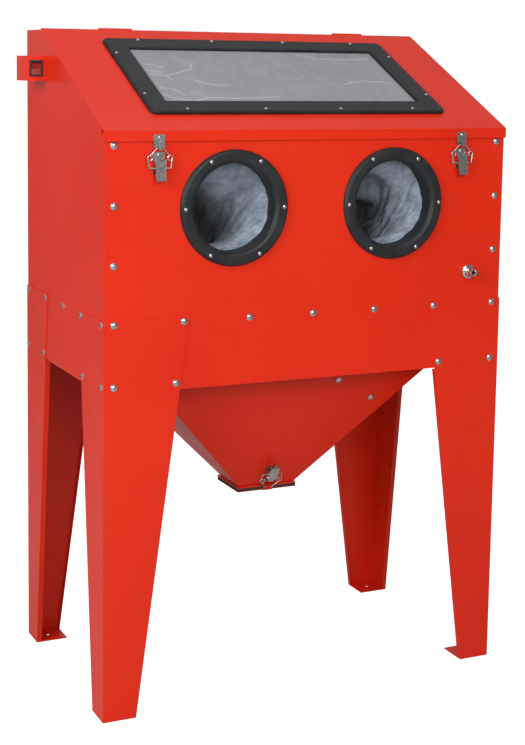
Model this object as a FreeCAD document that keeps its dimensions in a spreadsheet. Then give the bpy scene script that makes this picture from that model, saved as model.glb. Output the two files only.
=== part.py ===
import FreeCAD, Part
import math
import os
import Sketcher

# A floor-standing sandblast cabinet.
# The frame: X runs to the right as the user stands at the gloves, Y runs from the user to the back,
# Z runs up, and the origin is on the floor in the middle of the four foot bolts. Millimetres.

doc = FreeCAD.newDocument("sandblast_cabinet")

# ---------------------------------------------------------------- driving dimensions
DIMENSIONS = [
    ("body_width", 950.0),
    ("body_depth", 540.0),
    ("fold_height", 1234.0),
    ("top_height", 1444.0),
    ("top_flat", 108.0),
    ("skirt_bottom", 700.0),
    ("sheet", 1.5),
    ("panel_flange", 28.0),
    ("fold_clearance", 1.0),
    ("front_seal_flange", 20.0),
    ("top_return", 16.0),
    ("hopper_bend", 832.0),
    ("hopper_flange", 24.0),
    ("hopper_wall_x", 2.1),
    ("hopper_wall_y", 1.7),
    ("outlet_height", 405.0),
    ("outlet_width", 140.0),
    ("outlet_depth", 100.0),
    ("rim_overhang", 4.0),
    ("rim_thickness", 3.0),
    ("rim_hinge_ledge", 10.0),
    ("leg_sheet", 2.0),
    ("leg_height", 852.0),
    ("leg_top_width", 186.0),
    ("leg_foot_width", 72.0),
    ("leg_top_depth", 157.0),
    ("leg_foot_depth", 67.0),
    ("leg_return", 12.0),
    ("leg_return_gap", 4.0),
    ("foot_plate", 3.0),
    ("foot_hole_radius", 5.5),
    ("screw_radius", 3.0),
    ("screw_clearance", 0.3),
    ("screw_end", 2.0),
    ("screw_head_radius", 7.5),
    ("screw_head_height", 3.8),
    ("nut_across_corners", 11.5),
    ("nut_height", 5.0),
    ("corner_screw_inset", 20.0),
    ("side_screw_inset", 12.0),
    ("leg_screw_edge", 11.0),
    ("leg_screw_drop", 9.0),
    ("skirt_screw_rise", 14.0),
    ("upper_screw_drop", 26.0),
    ("upper_screw_pitch", 122.0),
    ("ring_centre_spread", 190.0),
    ("ring_centre_height", 1076.0),
    ("ring_outer_radius", 122.0),
    ("ring_opening_radius", 93.0),
    ("ring_thickness", 10.0),
    ("ring_collar_depth", 34.0),
    ("ring_collar_wall", 4.0),
    ("ring_screw_circle", 112.0),
    ("ring_screw_radius", 2.0),
    ("small_clearance", 0.1),
    ("small_screw_end", 4.0),
    ("small_screw_head_radius", 4.2),
    ("small_screw_head_height", 2.2),
    ("glove_wall", 3.0),
    ("clamp_width", 12.0),
    ("clamp_thickness", 1.0),
    ("clamp_set_back", 14.0),
    ("clamp_screw_length", 20.0),
    ("clamp_screw_height", 8.0),
    ("top_seal_flange", 54.0),
    ("seal_width", 18.0),
    ("seal_thickness", 4.0),
    ("seal_inset", 4.0),
    ("seal_top_inset", 37.0),
    ("lid_gap", 2.5),
    ("lid_lip", 22.0),
    ("lid_side_gap", 1.0),
    ("lid_side_flange", 13.0),
    ("lid_flange_notch", 12.0),
    ("window_side_margin", 121.0),
    ("window_end_margin", 65.17),
    ("window_border", 48.0),
    ("window_frame_thickness", 9.0),
    ("window_corner_radius", 14.0),
    ("window_bevel", 3.0),
    ("window_screw_inset", 10.0),
    ("window_screw_pitch", 181.0),
    ("window_side_screw_offset", 97.0),
    ("glass_thickness", 3.0),
    ("glass_lap", 12.0),
    ("glass_support", 6.0),
    ("glass_clearance", 0.5),
    ("hinge_radius", 3.2),
    ("hinge_leaf", 1.2),
    ("hinge_leaf_width", 22.0),
    ("hinge_knuckle", 16.0),
    ("hinge_leaf_gap", 0.4),
    ("hinge_end_gap", 0.8),
    ("hinge_set_back", 2.0),
    ("hinge_pin_end", 1.0),
    ("hinge_pin_radius", 1.6),
    ("running_clearance", 0.05),
    ("knuckle_gap", 0.3),
    ("lid_hinge_spread", 300.0),
    ("latch_spread", 360.0),
    ("latch_pivot_height", 1174.0),
    ("latch_pivot_out", 9.0),
    ("latch_throw", 12.0),
    ("latch_reach", 28.0),
    ("latch_sheet", 1.5),
    ("latch_half_width", 10.9),
    ("latch_lever_length", 38.0),
    ("latch_wire_radius", 1.25),
    ("latch_pivot_radius", 1.5),
    ("latch_side_gap", 0.3),
    ("latch_plate_fall", 26.0),
    ("latch_plate_rise", 20.0),
    ("latch_curl_radius", 5.0),
    ("latch_bar_reach", 13.0),
    ("latch_crossbar_half", 7.0),
    ("hook_half_width", 4.0),
    ("hook_drop", 2.45),
    ("keeper_half_width", 12.0),
    ("keeper_length", 56.0),
    ("keeper_rivet_rise", 50.0),
    ("rivet_radius", 1.6),
    ("rivet_head_radius", 3.0),
    ("rivet_head_height", 1.2),
    ("door_gasket", 7.0),
    ("door_latch_packer", 5.0),
    ("door_latch_rise", 32.5),
    ("door_hinge_back", 8.0),
    ("door_leaf_width", 12.0),
    ("door_foot_width", 30.0),
    ("door_tongue", 2.5),
    ("door_tab_end", 0.3),
    ("switch_box_width", 50.0),
    ("switch_box_depth", 66.0),
    ("switch_box_height", 55.0),
    ("switch_box_setback", 120.0),
    ("switch_box_drop", 86.0),
    ("switch_box_sheet", 1.2),
    ("bezel_width", 30.0),
    ("bezel_height", 36.0),
    ("bezel_rim", 3.0),
    ("bezel_lap", 2.0),
    ("bezel_core_inset", 2.2),
    ("bezel_core_depth", 16.0),
    ("bezel_wall", 4.0),
    ("rocker_pivot_radius", 1.5),
    ("rocker_pivot_depth", 2.0),
    ("rocker_gap", 0.5),
    ("rocker_end_gap", 1.4),
    ("rocker_pin_reach", 1.2),
    ("rocker_angle", 10.0),
    ("inlet_radius", 6.0),
    ("inlet_bore", 2.8),
    ("air_fitting_x", 389.0),
    ("air_fitting_height", 916.0),
    ("air_thread_radius", 8.0),
    ("air_bore_radius", 3.5),
    ("air_flange_radius", 15.5),
    ("air_nipple_reach", 28.0),
    ("air_collar_radius", 11.0),
    ("air_nut_across", 28.0),
    ("air_nut_height", 6.0),
    ("grate_height", 862.0),
    ("grate_thickness", 3.0),
    ("grate_clearance", 6.0),
    ("rail_width", 25.0),
    ("rail_clearance", 0.1),
    ("rail_end_gap", 34.0),
    ("grate_border", 18.0),
    ("grate_slot_pitch_x", 90.0),
    ("grate_slot_pitch_y", 24.0),
    ("grate_bar_x", 10.0),
    ("grate_bar_y", 8.0),
    ("lamp_length", 420.0),
    ("lamp_width", 62.0),
    ("lamp_height", 26.0),
    ("tube_radius", 8.0),
    ("gun_x", 225.0),
    ("gun_from_back", 148.5),
    ("gun_barrel_radius", 17.0),
    ("gun_barrel_length", 110.0),
    ("gun_grip_length", 110.0),
    ("gun_nozzle_seat", 9.0),
    ("gun_nozzle_bore", 3.5),
    ("gun_pivot_radius", 2.0),
    ("gun_trigger_length", 76.0),
    ("pickup_radius", 9.0),
    ("pickup_bore", 7.0),
    ("pickup_length", 420.0),
    ("pickup_start", 34.0),
    ("strap_width", 16.0),
    ("strap_thickness", 1.5),
    ("strap_end", 10.0),
    ("strap_upper_screw_across", 113.0),
    ("strap_upper_screw_rise", 298.0),
    ("strap_lower_screw_across", 212.0),
    ("strap_lower_screw_rise", 238.0),
    ("dust_outlet_x", 250.0),
    ("dust_outlet_height", 1080.0),
    ("dust_outlet_radius", 31.5),
    ("dust_outlet_wall", 2.0),
    ("dust_outlet_length", 45.0),
    ("dust_flange_radius", 52.0),
]

sheet = doc.addObject("Spreadsheet::Sheet", "dims")
sheet.Label = "dims"
for row, (name, value) in enumerate(DIMENSIONS, start=1):
    sheet.set(f"A{row}", name)
    sheet.set(f"B{row}", str(value))
    sheet.setAlias(f"B{row}", name)
DERIVED = [
    ("slope_run", "body_depth - top_flat"),
    ("slope_rise", "top_height - fold_height"),
    ("slope_length", "sqrt(slope_run ^ 2 + slope_rise ^ 2)"),
    ("slope_cosine", "slope_run / slope_length"),
    ("slope_sine", "slope_rise / slope_length"),
    ("slope_angle", "asin(slope_sine) / 1deg"),
    ("hopper_run", "body_depth / 2 - sheet - outlet_depth / 2"),
    ("hopper_fall", "hopper_bend - outlet_height"),
    ("hopper_angle", "atan(hopper_run / hopper_fall) / 1deg"),
]
for row, (name, formula) in enumerate(DERIVED, start=len(DIMENSIONS) + 1):
    sheet.set(f"A{row}", name)
    sheet.set(f"B{row}", f"={formula}")
    sheet.setAlias(f"B{row}", name)
    doc.recompute()


class Size:
    """A length or angle that carries its number and the sheet formula that gives it."""

    def __init__(self, value, formula):
        self.value = float(value)
        self.formula = formula

    @staticmethod
    def of(other):
        return other if isinstance(other, Size) else Size(other, repr(float(other)))

    def __add__(self, other):
        other = Size.of(other)
        return Size(self.value + other.value, f"({self.formula} + {other.formula})")

    def __sub__(self, other):
        other = Size.of(other)
        return Size(self.value - other.value, f"({self.formula} - {other.formula})")

    def __mul__(self, other):
        other = Size.of(other)
        return Size(self.value * other.value, f"({self.formula} * {other.formula})")

    def __truediv__(self, other):
        other = Size.of(other)
        return Size(self.value / other.value, f"({self.formula} / {other.formula})")

    def __radd__(self, other):
        return Size.of(other) + self

    def __rsub__(self, other):
        return Size.of(other) - self

    def __rmul__(self, other):
        return Size.of(other) * self

    def __neg__(self):
        return Size(-self.value, f"(0 - {self.formula})")


def dim(name):
    return Size(sheet.get(name), f"dims.{name}")


def num(size):
    return Size.of(size).value


def bind(thing, prop, size):
    thing.setExpression(prop, Size.of(size).formula)


def place(thing, x=0, y=0, z=0, axis=None, angle=0):
    """Put a piece at x, y, z, turned by angle about axis, with its place bound to the sheet."""
    turn = FreeCAD.Rotation(FreeCAD.Vector(*(axis or (0, 0, 1))), num(angle))
    thing.Placement = FreeCAD.Placement(FreeCAD.Vector(num(x), num(y), num(z)), turn)
    for letter, size in (("x", x), ("y", y), ("z", z)):
        bind(thing, f"Placement.Base.{letter}", size)
    if isinstance(angle, Size):
        bind(thing, "Placement.Rotation.Angle", angle)
    return thing


def seat(thing, placement):
    """Put a piece at a placement worked out from the sheet's values."""
    thing.Placement = placement
    return thing


# ---------------------------------------------------------------- building blocks
SUBPARTS = []


def keep(thing, label):
    """Mark a finished piece as a sub-part of the cabinet."""
    thing.Label = label
    SUBPARTS.append(thing)
    return thing


def new_body(name):
    return doc.addObject("PartDesign::Body", name)


def new_sketch(body, role, offset):
    plane = next(f for f in body.Origin.OriginFeatures if f.Role == role)
    drawing = body.newObject("Sketcher::SketchObject", f"{body.Name}_sketch")
    drawing.AttachmentSupport = [(plane, "")]
    drawing.MapMode = "FlatFace"
    bind(drawing, "AttachmentOffset.Base.z", offset)
    return drawing


def pin_point(drawing, element, point, across, up):
    """Tie a point of a sketch to two sizes measured from the sketch's origin."""
    for kind, size in (("DistanceX", across), ("DistanceY", up)):
        index = drawing.addConstraint(Sketcher.Constraint(kind, -1, 1, element, point, num(size)))
        bind(drawing, f"Constraints[{index}]", size)


def draw_polygon(drawing, corners):
    ends = corners[1:] + corners[:1]
    first = drawing.GeometryCount
    for (x0, y0), (x1, y1) in zip(corners, ends):
        start = FreeCAD.Vector(num(x0), num(y0), 0)
        stop = FreeCAD.Vector(num(x1), num(y1), 0)
        drawing.addGeometry(Part.LineSegment(start, stop), False)
    count = len(corners)
    for step in range(count):
        following = first + (step + 1) % count
        drawing.addConstraint(Sketcher.Constraint("Coincident", first + step, 2, following, 1))
    for step, (x0, y0) in enumerate(corners):
        pin_point(drawing, first + step, 1, x0, y0)


def draw_circle(drawing, x0, y0, radius):
    centre = FreeCAD.Vector(num(x0), num(y0), 0)
    circle = Part.Circle(centre, FreeCAD.Vector(0, 0, 1), num(radius))
    element = drawing.addGeometry(circle, False)
    index = drawing.addConstraint(Sketcher.Constraint("Radius", element, num(radius)))
    bind(drawing, f"Constraints[{index}]", radius)
    pin_point(drawing, element, 3, x0, y0)


def sketch_side(role, start, thickness):
    """Where a sketch goes so that its pad fills from start, thickness along the plane's axis."""
    return -(Size.of(start) + thickness) if role == "XZ_Plane" else Size.of(start)


def add_plate(body, role, corners, start, thickness):
    """Pad a flat plate: corners in the plane, from start for thickness along the plane's axis."""
    drawing = new_sketch(body, role, sketch_side(role, start, thickness))
    draw_polygon(drawing, corners)
    pad = body.newObject("PartDesign::Pad", f"{body.Name}_pad")
    pad.Profile = drawing
    bind(pad, "Length", thickness)
    body.Tip = pad
    return pad


def add_disc(body, role, centre, radius, start, thickness):
    drawing = new_sketch(body, role, sketch_side(role, start, thickness))
    draw_circle(drawing, centre[0], centre[1], radius)
    pad = body.newObject("PartDesign::Pad", f"{body.Name}_pad")
    pad.Profile = drawing
    bind(pad, "Length", thickness)
    body.Tip = pad
    return pad


def add_turned(body, role, corners, start=0, axis="V_Axis"):
    """Revolve an outline about an axis of its sketch."""
    drawing = new_sketch(body, role, start)
    draw_polygon(drawing, corners)
    turned = body.newObject("PartDesign::Revolution", f"{body.Name}_turned")
    turned.Profile = drawing
    turned.ReferenceAxis = (drawing, [axis])
    turned.Angle = 360.0
    body.Tip = turned
    return turned


def cut_through(body, role, polygons=(), circles=()):
    """Cut openings right through a body along the plane's axis."""
    drawing = new_sketch(body, role, 0)
    for corners in polygons:
        draw_polygon(drawing, corners)
    for x0, y0, radius in circles:
        draw_circle(drawing, x0, y0, radius)
    pocket = body.newObject("PartDesign::Pocket", f"{body.Name}_cut")
    pocket.Profile = drawing
    pocket.Type = "ThroughAll"
    pocket.Midplane = True
    body.Tip = pocket
    return pocket


def rectangle(x0, y0, x1, y1):
    return [(x0, y0), (x1, y0), (x1, y1), (x0, y1)]


def block(name, low, lengths):
    piece = doc.addObject("Part::Box", name)
    for prop, size in zip(("Length", "Width", "Height"), lengths):
        bind(piece, prop, size)
    return place(piece, *low)


AXES = {
    "x": ((0, 1, 0), 90.0),
    "y": ((1, 0, 0), -90.0),
    "z": ((0, 0, 1), 0.0),
}


def rod(name, start, axis, radius, length):
    """A round bar from start, length along the positive x, y or z axis."""
    piece = doc.addObject("Part::Cylinder", name)
    bind(piece, "Radius", radius)
    bind(piece, "Height", length)
    turn_axis, angle = AXES[axis]
    return place(piece, *start, axis=turn_axis, angle=angle)


def fuse(name, pieces):
    if len(pieces) == 1:
        return pieces[0]
    joined = doc.addObject("Part::MultiFuse", name)
    joined.Shapes = pieces
    return joined


def cut(name, base, tools):
    result = doc.addObject("Part::Cut", name)
    result.Base = base
    result.Tool = fuse(f"{name}_tools", tools)
    return result


def group(label, pieces):
    joined = doc.addObject("Part::Compound", label)
    joined.Links = pieces
    return keep(joined, label)


def set_shape(label, shape):
    piece = doc.addObject("Part::Feature", label)
    piece.Shape = shape
    return keep(piece, label)


# ---------------------------------------------------------------- shared places
T = dim("sheet")
HALF_W = dim("body_width") / 2
HALF_D = dim("body_depth") / 2
IN_W = HALF_W - T
IN_D = HALF_D - T
FOLD = dim("fold_height")
TOP = dim("top_height")
SKIRT = dim("skirt_bottom")
SLOPE_BACK = HALF_D - dim("top_flat")
SLOPE_RUN = dim("slope_run")
SLOPE_RISE = dim("slope_rise")
SLOPE_ANGLE = dim("slope_angle")
COS = dim("slope_cosine")
SIN = dim("slope_sine")
SCREW_HOLE = dim("screw_radius") + dim("screw_clearance")
FLANGE_FOOT = dim("hopper_bend") + dim("hopper_flange") + dim("fold_clearance") * 2
FLANGE_HALF = IN_W - dim("panel_flange") - dim("fold_clearance")
SMALL_HOLE = dim("ring_screw_radius") + dim("small_clearance")
SNUG = dim("running_clearance")

LEG_SCREW_Z = dim("leg_height") - dim("leg_screw_drop")
SKIRT_SCREW_Z = SKIRT + dim("skirt_screw_rise")
UPPER_SCREW_Z = FOLD - dim("upper_screw_drop")
CORNER_X = HALF_W - dim("corner_screw_inset")
CORNER_Y = HALF_D - dim("side_screw_inset")


def leg_edge(top_size, foot_size, half, height):
    """How far a leg's inner edge is from the cabinet's middle plane at a height."""
    taper = (top_size - foot_size) / dim("leg_height")
    return half - foot_size - taper * height


def leg_edge_x(height):
    return leg_edge(dim("leg_top_width"), dim("leg_foot_width"), HALF_W, height)


def leg_edge_y(height):
    return leg_edge(dim("leg_top_depth"), dim("leg_foot_depth"), HALF_D, height)


EDGE = dim("leg_screw_edge")
LEG_FRONT_SCREWS = [
    (CORNER_X, LEG_SCREW_Z),
    (leg_edge_x(LEG_SCREW_Z) + EDGE, LEG_SCREW_Z),
    (CORNER_X, SKIRT_SCREW_Z),
    (leg_edge_x(SKIRT_SCREW_Z) + EDGE, SKIRT_SCREW_Z),
]
LEG_SIDE_SCREWS = [
    (CORNER_Y, LEG_SCREW_Z),
    (leg_edge_y(LEG_SCREW_Z) + EDGE, LEG_SCREW_Z),
    (CORNER_Y, SKIRT_SCREW_Z),
    (leg_edge_y(SKIRT_SCREW_Z) + EDGE, SKIRT_SCREW_Z),
]
SCREW_PITCH = dim("upper_screw_pitch")
UPPER_SCREWS = [(CORNER_X, UPPER_SCREW_Z - SCREW_PITCH * step) for step in range(3)]
ROW_PITCH = (leg_edge_x(LEG_SCREW_Z) + EDGE) / 2
ROW_SCREWS = [(ROW_PITCH * step, LEG_SCREW_Z) for step in (-1, 0, 1)]


def both_sides(spots):
    return [(side * x0, z0) for side in (-1, 1) for x0, z0 in spots]


def holes(spots, radius=SCREW_HOLE):
    return [(x0, z0, radius) for x0, z0 in spots]


# ---------------------------------------------------------------- cabinet panels
SWITCH_Y = HALF_D - dim("switch_box_setback")
SWITCH_Z = TOP - dim("switch_box_drop")


def make_side_panel(label, side):
    """Side sheet with flanges folded in behind the front, back, slope and top."""
    body = new_body(label)
    outline = [
        (-HALF_D, SKIRT),
        (HALF_D, SKIRT),
        (HALF_D, TOP),
        (SLOPE_BACK, TOP),
        (-HALF_D, FOLD),
    ]
    add_plate(body, "YZ_Plane", outline, -HALF_W if side < 0 else HALF_W - T, T)
    start = -IN_W if side < 0 else IN_W - dim("panel_flange")
    drop = T / COS
    front_flange = [
        (-IN_D, FLANGE_FOOT),
        (-IN_D + T, FLANGE_FOOT),
        (-IN_D + T, FOLD - drop),
        (-IN_D, FOLD - drop),
    ]
    add_plate(body, "YZ_Plane", front_flange, start, dim("panel_flange"))
    back_flange = [
        (IN_D - T, FLANGE_FOOT),
        (IN_D, FLANGE_FOOT),
        (IN_D, TOP - T * 3),
        (IN_D - T, TOP - T * 3),
    ]
    add_plate(body, "YZ_Plane", back_flange, start, dim("panel_flange"))
    rise = SLOPE_RISE / SLOPE_RUN
    low_y = -IN_D + T * 2
    high_y = SLOPE_BACK - T * 2
    slope_flange = [
        (low_y, FOLD + rise * (low_y + HALF_D) - drop),
        (high_y, FOLD + rise * (high_y + HALF_D) - drop),
        (high_y, FOLD + rise * (high_y + HALF_D)),
        (low_y, FOLD + rise * (low_y + HALF_D)),
    ]
    add_plate(body, "YZ_Plane", slope_flange, start, dim("panel_flange"))
    side_spots = both_sides(LEG_SIDE_SCREWS) + [(Size.of(0), LEG_SCREW_Z)]
    cut_through(body, "YZ_Plane", circles=holes(side_spots))
    cut_through(body, "XZ_Plane", circles=holes([(side * x0, z0) for x0, z0 in UPPER_SCREWS]))
    if side < 0:
        cut_through(body, "YZ_Plane", circles=[(SWITCH_Y, SWITCH_Z, dim("inlet_radius"))])
    return keep(body, label)


make_side_panel("left_side_panel", -1)
make_side_panel("right_side_panel", 1)

RING_X = dim("ring_centre_spread")
RING_Z = dim("ring_centre_height")
COLLAR_OUT = dim("ring_opening_radius") + dim("ring_collar_wall")
PANEL_SPOTS = both_sides(LEG_FRONT_SCREWS) + both_sides(UPPER_SCREWS) + ROW_SCREWS
LATCH_X = dim("latch_spread")
LATCH_Z = dim("latch_pivot_height")
RIVET = dim("rivet_radius")
RIVET_HOLE = RIVET + dim("small_clearance")
BASE_RIVETS = [-20.0, 14.0]


def slope_top_flange(body, y_start, y_stop, half_width):
    """A strip folded in along the slope, under the lid's seal."""
    rise = SLOPE_RISE / SLOPE_RUN
    drop = T / COS
    corners = [
        (y_start, FOLD + rise * (y_start + HALF_D) - drop),
        (y_stop, FOLD + rise * (y_stop + HALF_D) - drop),
        (y_stop, FOLD + rise * (y_stop + HALF_D)),
        (y_start, FOLD + rise * (y_start + HALF_D)),
    ]
    add_plate(body, "YZ_Plane", corners, -half_width, half_width * 2)


front = new_body("front_panel")
add_plate(front, "XZ_Plane", rectangle(-IN_W, SKIRT, IN_W, FOLD), -HALF_D, T)
slope_top_flange(front, -IN_D, -IN_D + dim("front_seal_flange"), FLANGE_HALF)
glove_holes = [(side * RING_X, RING_Z, COLLAR_OUT + dim("screw_clearance")) for side in (-1, 1)]
AIR_HOLE = dim("air_thread_radius") + dim("screw_clearance")
air_hole = [(dim("air_fitting_x"), dim("air_fitting_height"), AIR_HOLE)]
base_rivet_holes = [
    (side * LATCH_X, LATCH_Z + offset, RIVET_HOLE) for side in (-1, 1) for offset in BASE_RIVETS
]
RING_SCREW_ANGLES = [60 * step for step in range(6)]


def ring_screw_spots(side):
    spots = []
    for angle in RING_SCREW_ANGLES:
        across = dim("ring_screw_circle") * math.cos(math.radians(angle))
        up = dim("ring_screw_circle") * math.sin(math.radians(angle))
        spots.append((side * RING_X + across, RING_Z + up))
    return spots


ring_screw_holes = []
for side in (-1, 1):
    ring_screw_holes += holes(ring_screw_spots(side), SMALL_HOLE)
cut_through(front, "XZ_Plane", circles=holes(PANEL_SPOTS) + glove_holes + air_hole)
cut_through(front, "XZ_Plane", circles=base_rivet_holes + ring_screw_holes)
keep(front, "front_panel")

DUST_X = dim("dust_outlet_x")
DUST_Z = dim("dust_outlet_height")
DUST_R = dim("dust_outlet_radius")
back = new_body("back_panel")
add_plate(back, "XZ_Plane", rectangle(-IN_W, SKIRT, IN_W, TOP), IN_D, T)
dust_hole = [(DUST_X, DUST_Z, DUST_R - dim("dust_outlet_wall"))]
cut_through(back, "XZ_Plane", circles=holes(PANEL_SPOTS) + dust_hole)
keep(back, "back_panel")

top = new_body("top_panel")
add_plate(top, "XY_Plane", rectangle(-IN_W, SLOPE_BACK, IN_W, IN_D), TOP - T, T)
down = rectangle(-FLANGE_HALF, TOP - dim("top_return"), FLANGE_HALF, TOP - T)
add_plate(top, "XZ_Plane", down, SLOPE_BACK, T)
slope_top_flange(top, SLOPE_BACK - dim("top_seal_flange"), SLOPE_BACK, FLANGE_HALF)
keep(top, "top_panel")

# ---------------------------------------------------------------- hopper
BEND = dim("hopper_bend")
OUT_Z = dim("outlet_height")
OUT_X = dim("outlet_width") / 2
OUT_Y = dim("outlet_depth") / 2
WALL_X = dim("hopper_wall_x")
WALL_Y = dim("hopper_wall_y")


def quarter(half_x, half_y, facing):
    """The mitred outline of one hopper wall at one level."""
    in_x = half_x - WALL_X
    in_y = half_y - WALL_Y
    if facing in ("front", "back"):
        sign = -1 if facing == "front" else 1
        return [(-half_x, sign * half_y), (half_x, sign * half_y), (in_x, sign * in_y), (-in_x, sign * in_y)]
    sign = -1 if facing == "left" else 1
    return [(sign * half_x, -half_y), (sign * half_x, half_y), (sign * in_x, in_y), (sign * in_x, -in_y)]


def make_hopper_wall(facing):
    label = f"hopper_{facing}"
    body = new_body(label)
    top_drawing = new_sketch(body, "XY_Plane", BEND)
    draw_polygon(top_drawing, quarter(IN_W, IN_D, facing))
    bottom_drawing = new_sketch(body, "XY_Plane", OUT_Z)
    draw_polygon(bottom_drawing, quarter(OUT_X, OUT_Y, facing))
    wall = body.newObject("PartDesign::AdditiveLoft", f"{label}_wall")
    wall.Profile = top_drawing
    wall.Sections = [bottom_drawing]
    wall.Ruled = True
    body.Tip = wall
    upright = new_sketch(body, "XY_Plane", BEND)
    draw_polygon(upright, quarter(IN_W, IN_D, facing))
    pad = body.newObject("PartDesign::Pad", f"{label}_flange")
    pad.Profile = upright
    bind(pad, "Length", dim("hopper_flange"))
    body.Tip = pad
    if facing in ("front", "back"):
        spots = [(side * x0, z0) for side in (-1, 1) for x0, z0 in LEG_FRONT_SCREWS[:2]] + ROW_SCREWS
        cut_through(body, "XZ_Plane", circles=holes(spots))
    else:
        spots = [(side * y0, z0) for side in (-1, 1) for y0, z0 in LEG_SIDE_SCREWS[:2]]
        cut_through(body, "YZ_Plane", circles=holes(spots + [(Size.of(0), LEG_SCREW_Z)]))
    return keep(body, label)


for facing in ("front", "back", "left", "right"):
    make_hopper_wall(facing)

RIM = dim("rim_overhang")
RIM_Z = OUT_Z - dim("rim_thickness")
rim = new_body("outlet_rim")
RIM_BACK = OUT_Y + RIM + dim("rim_hinge_ledge")
rim_outline = rectangle(-OUT_X - RIM, -OUT_Y - RIM, OUT_X + RIM, RIM_BACK)
add_plate(rim, "XY_Plane", rim_outline, RIM_Z, dim("rim_thickness"))
rim_hole = rectangle(-OUT_X + WALL_X, -OUT_Y + WALL_Y, OUT_X - WALL_X, OUT_Y - WALL_Y)
cut_through(rim, "XY_Plane", polygons=[rim_hole])
keep(rim, "outlet_rim")

# ---------------------------------------------------------------- legs
LEG_T = dim("leg_sheet")
LEG_TOP = dim("leg_height")
FOOT_X = HALF_W - dim("leg_foot_width") / 2
FOOT_Y = HALF_D - dim("leg_foot_depth") / 2


def leg_face(edge, half, sign):
    """A leg's tapered face, from its outer corner to its inner edge."""
    return [
        (sign * (half + LEG_T), Size.of(0)),
        (sign * (half + LEG_T), LEG_TOP),
        (sign * edge(LEG_TOP), LEG_TOP),
        (sign * edge(Size.of(0)), Size.of(0)),
    ]


def leg_return_strip(edge, sign):
    """The strip folded back along a leg's inner edge, below the cabinet's skirt."""
    top_z = SKIRT - dim("leg_return_gap")
    return [
        (sign * edge(Size.of(0)), Size.of(0)),
        (sign * (edge(Size.of(0)) + LEG_T), Size.of(0)),
        (sign * (edge(top_z) + LEG_T), top_z),
        (sign * edge(top_z), top_z),
    ]


def outward_slab(half, sign, depth):
    """Where a slab starts that lies on the outside of a panel and reaches depth inwards."""
    return -(half + LEG_T) if sign < 0 else half + LEG_T - depth


def make_leg(label, side, end):
    body = new_body(label)
    add_plate(body, "XZ_Plane", leg_face(leg_edge_x, HALF_W, side), outward_slab(HALF_D, end, LEG_T), LEG_T)
    add_plate(body, "YZ_Plane", leg_face(leg_edge_y, HALF_D, end), outward_slab(HALF_W, side, LEG_T), LEG_T)
    strip = dim("leg_return")
    add_plate(body, "XZ_Plane", leg_return_strip(leg_edge_x, side), outward_slab(HALF_D, end, strip), strip)
    add_plate(body, "YZ_Plane", leg_return_strip(leg_edge_y, end), outward_slab(HALF_W, side, strip), strip)
    foot = rectangle(
        side * HALF_W, end * HALF_D, side * leg_edge_x(Size.of(0)), end * leg_edge_y(Size.of(0))
    )
    add_plate(body, "XY_Plane", foot, Size.of(0), dim("foot_plate"))
    cut_through(body, "XY_Plane", circles=[(side * FOOT_X, end * FOOT_Y, dim("foot_hole_radius"))])
    cut_through(body, "XZ_Plane", circles=holes([(side * x0, z0) for x0, z0 in LEG_FRONT_SCREWS]))
    cut_through(body, "YZ_Plane", circles=holes([(end * y0, z0) for y0, z0 in LEG_SIDE_SCREWS]))
    return keep(body, label)


for side, side_name in ((-1, "left"), (1, "right")):
    for end, end_name in ((-1, "front"), (1, "back")):
        make_leg(f"leg_{end_name}_{side_name}", side, end)

# ---------------------------------------------------------------- fasteners
# Every screw is made pointing along its own -Z, with its head's seat at z = 0.
SCREW_R = num(dim("screw_radius"))


def dome_head(radius, height, shank_radius, shank_length, recessed=True):
    """A domed screw with a flat rim, a round shank and a cross recess; a rivet has a round pit."""
    rim_height = height * 0.3
    start = FreeCAD.Vector(radius, 0, rim_height)
    middle = FreeCAD.Vector(radius * 0.72, 0, rim_height + (height - rim_height) * 0.62)
    crown = FreeCAD.Vector(0, 0, height)
    edges = [
        Part.makeLine(FreeCAD.Vector(0, 0, -shank_length), FreeCAD.Vector(shank_radius, 0, -shank_length)),
        Part.makeLine(FreeCAD.Vector(shank_radius, 0, -shank_length), FreeCAD.Vector(shank_radius, 0, 0)),
        Part.makeLine(FreeCAD.Vector(shank_radius, 0, 0), FreeCAD.Vector(radius, 0, 0)),
        Part.makeLine(FreeCAD.Vector(radius, 0, 0), start),
        Part.Arc(start, middle, crown).toShape(),
        Part.makeLine(crown, FreeCAD.Vector(0, 0, -shank_length)),
    ]
    head = Part.Face(Part.Wire(edges)).revolve(FreeCAD.Vector(0, 0, 0), FreeCAD.Vector(0, 0, 1), 360)
    if not recessed:
        pit = Part.makeCylinder(radius * 0.3, height, FreeCAD.Vector(0, 0, height * 0.4))
        return head.cut(pit)
    length = radius * 0.95
    width = radius * 0.2
    depth = height * 0.55
    corner = FreeCAD.Vector(-length / 2, -width / 2, height - depth)
    slot = Part.makeBox(length, width, depth + 1, corner)
    other = slot.copy()
    other.rotate(FreeCAD.Vector(0, 0, 0), FreeCAD.Vector(0, 0, 1), 90)
    return head.cut(slot.fuse(other))


def hex_nut(across_corners, height, bore):
    points = []
    for step in range(7):
        angle = math.radians(60 * step)
        points.append(FreeCAD.Vector(math.cos(angle), math.sin(angle), 0) * (across_corners / 2))
    prism = Part.Face(Part.makePolygon(points)).extrude(FreeCAD.Vector(0, 0, height))
    return prism.cut(Part.makeCylinder(bore, height))


def aimed(shape, x0, y0, z0, outward):
    """A copy of a screw or nut with its head facing outward and its seat at a point."""
    copy = shape.copy()
    turn = FreeCAD.Rotation(FreeCAD.Vector(0, 0, 1), FreeCAD.Vector(*outward))
    copy.Placement = FreeCAD.Placement(FreeCAD.Vector(x0, y0, z0), turn)
    return copy


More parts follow.
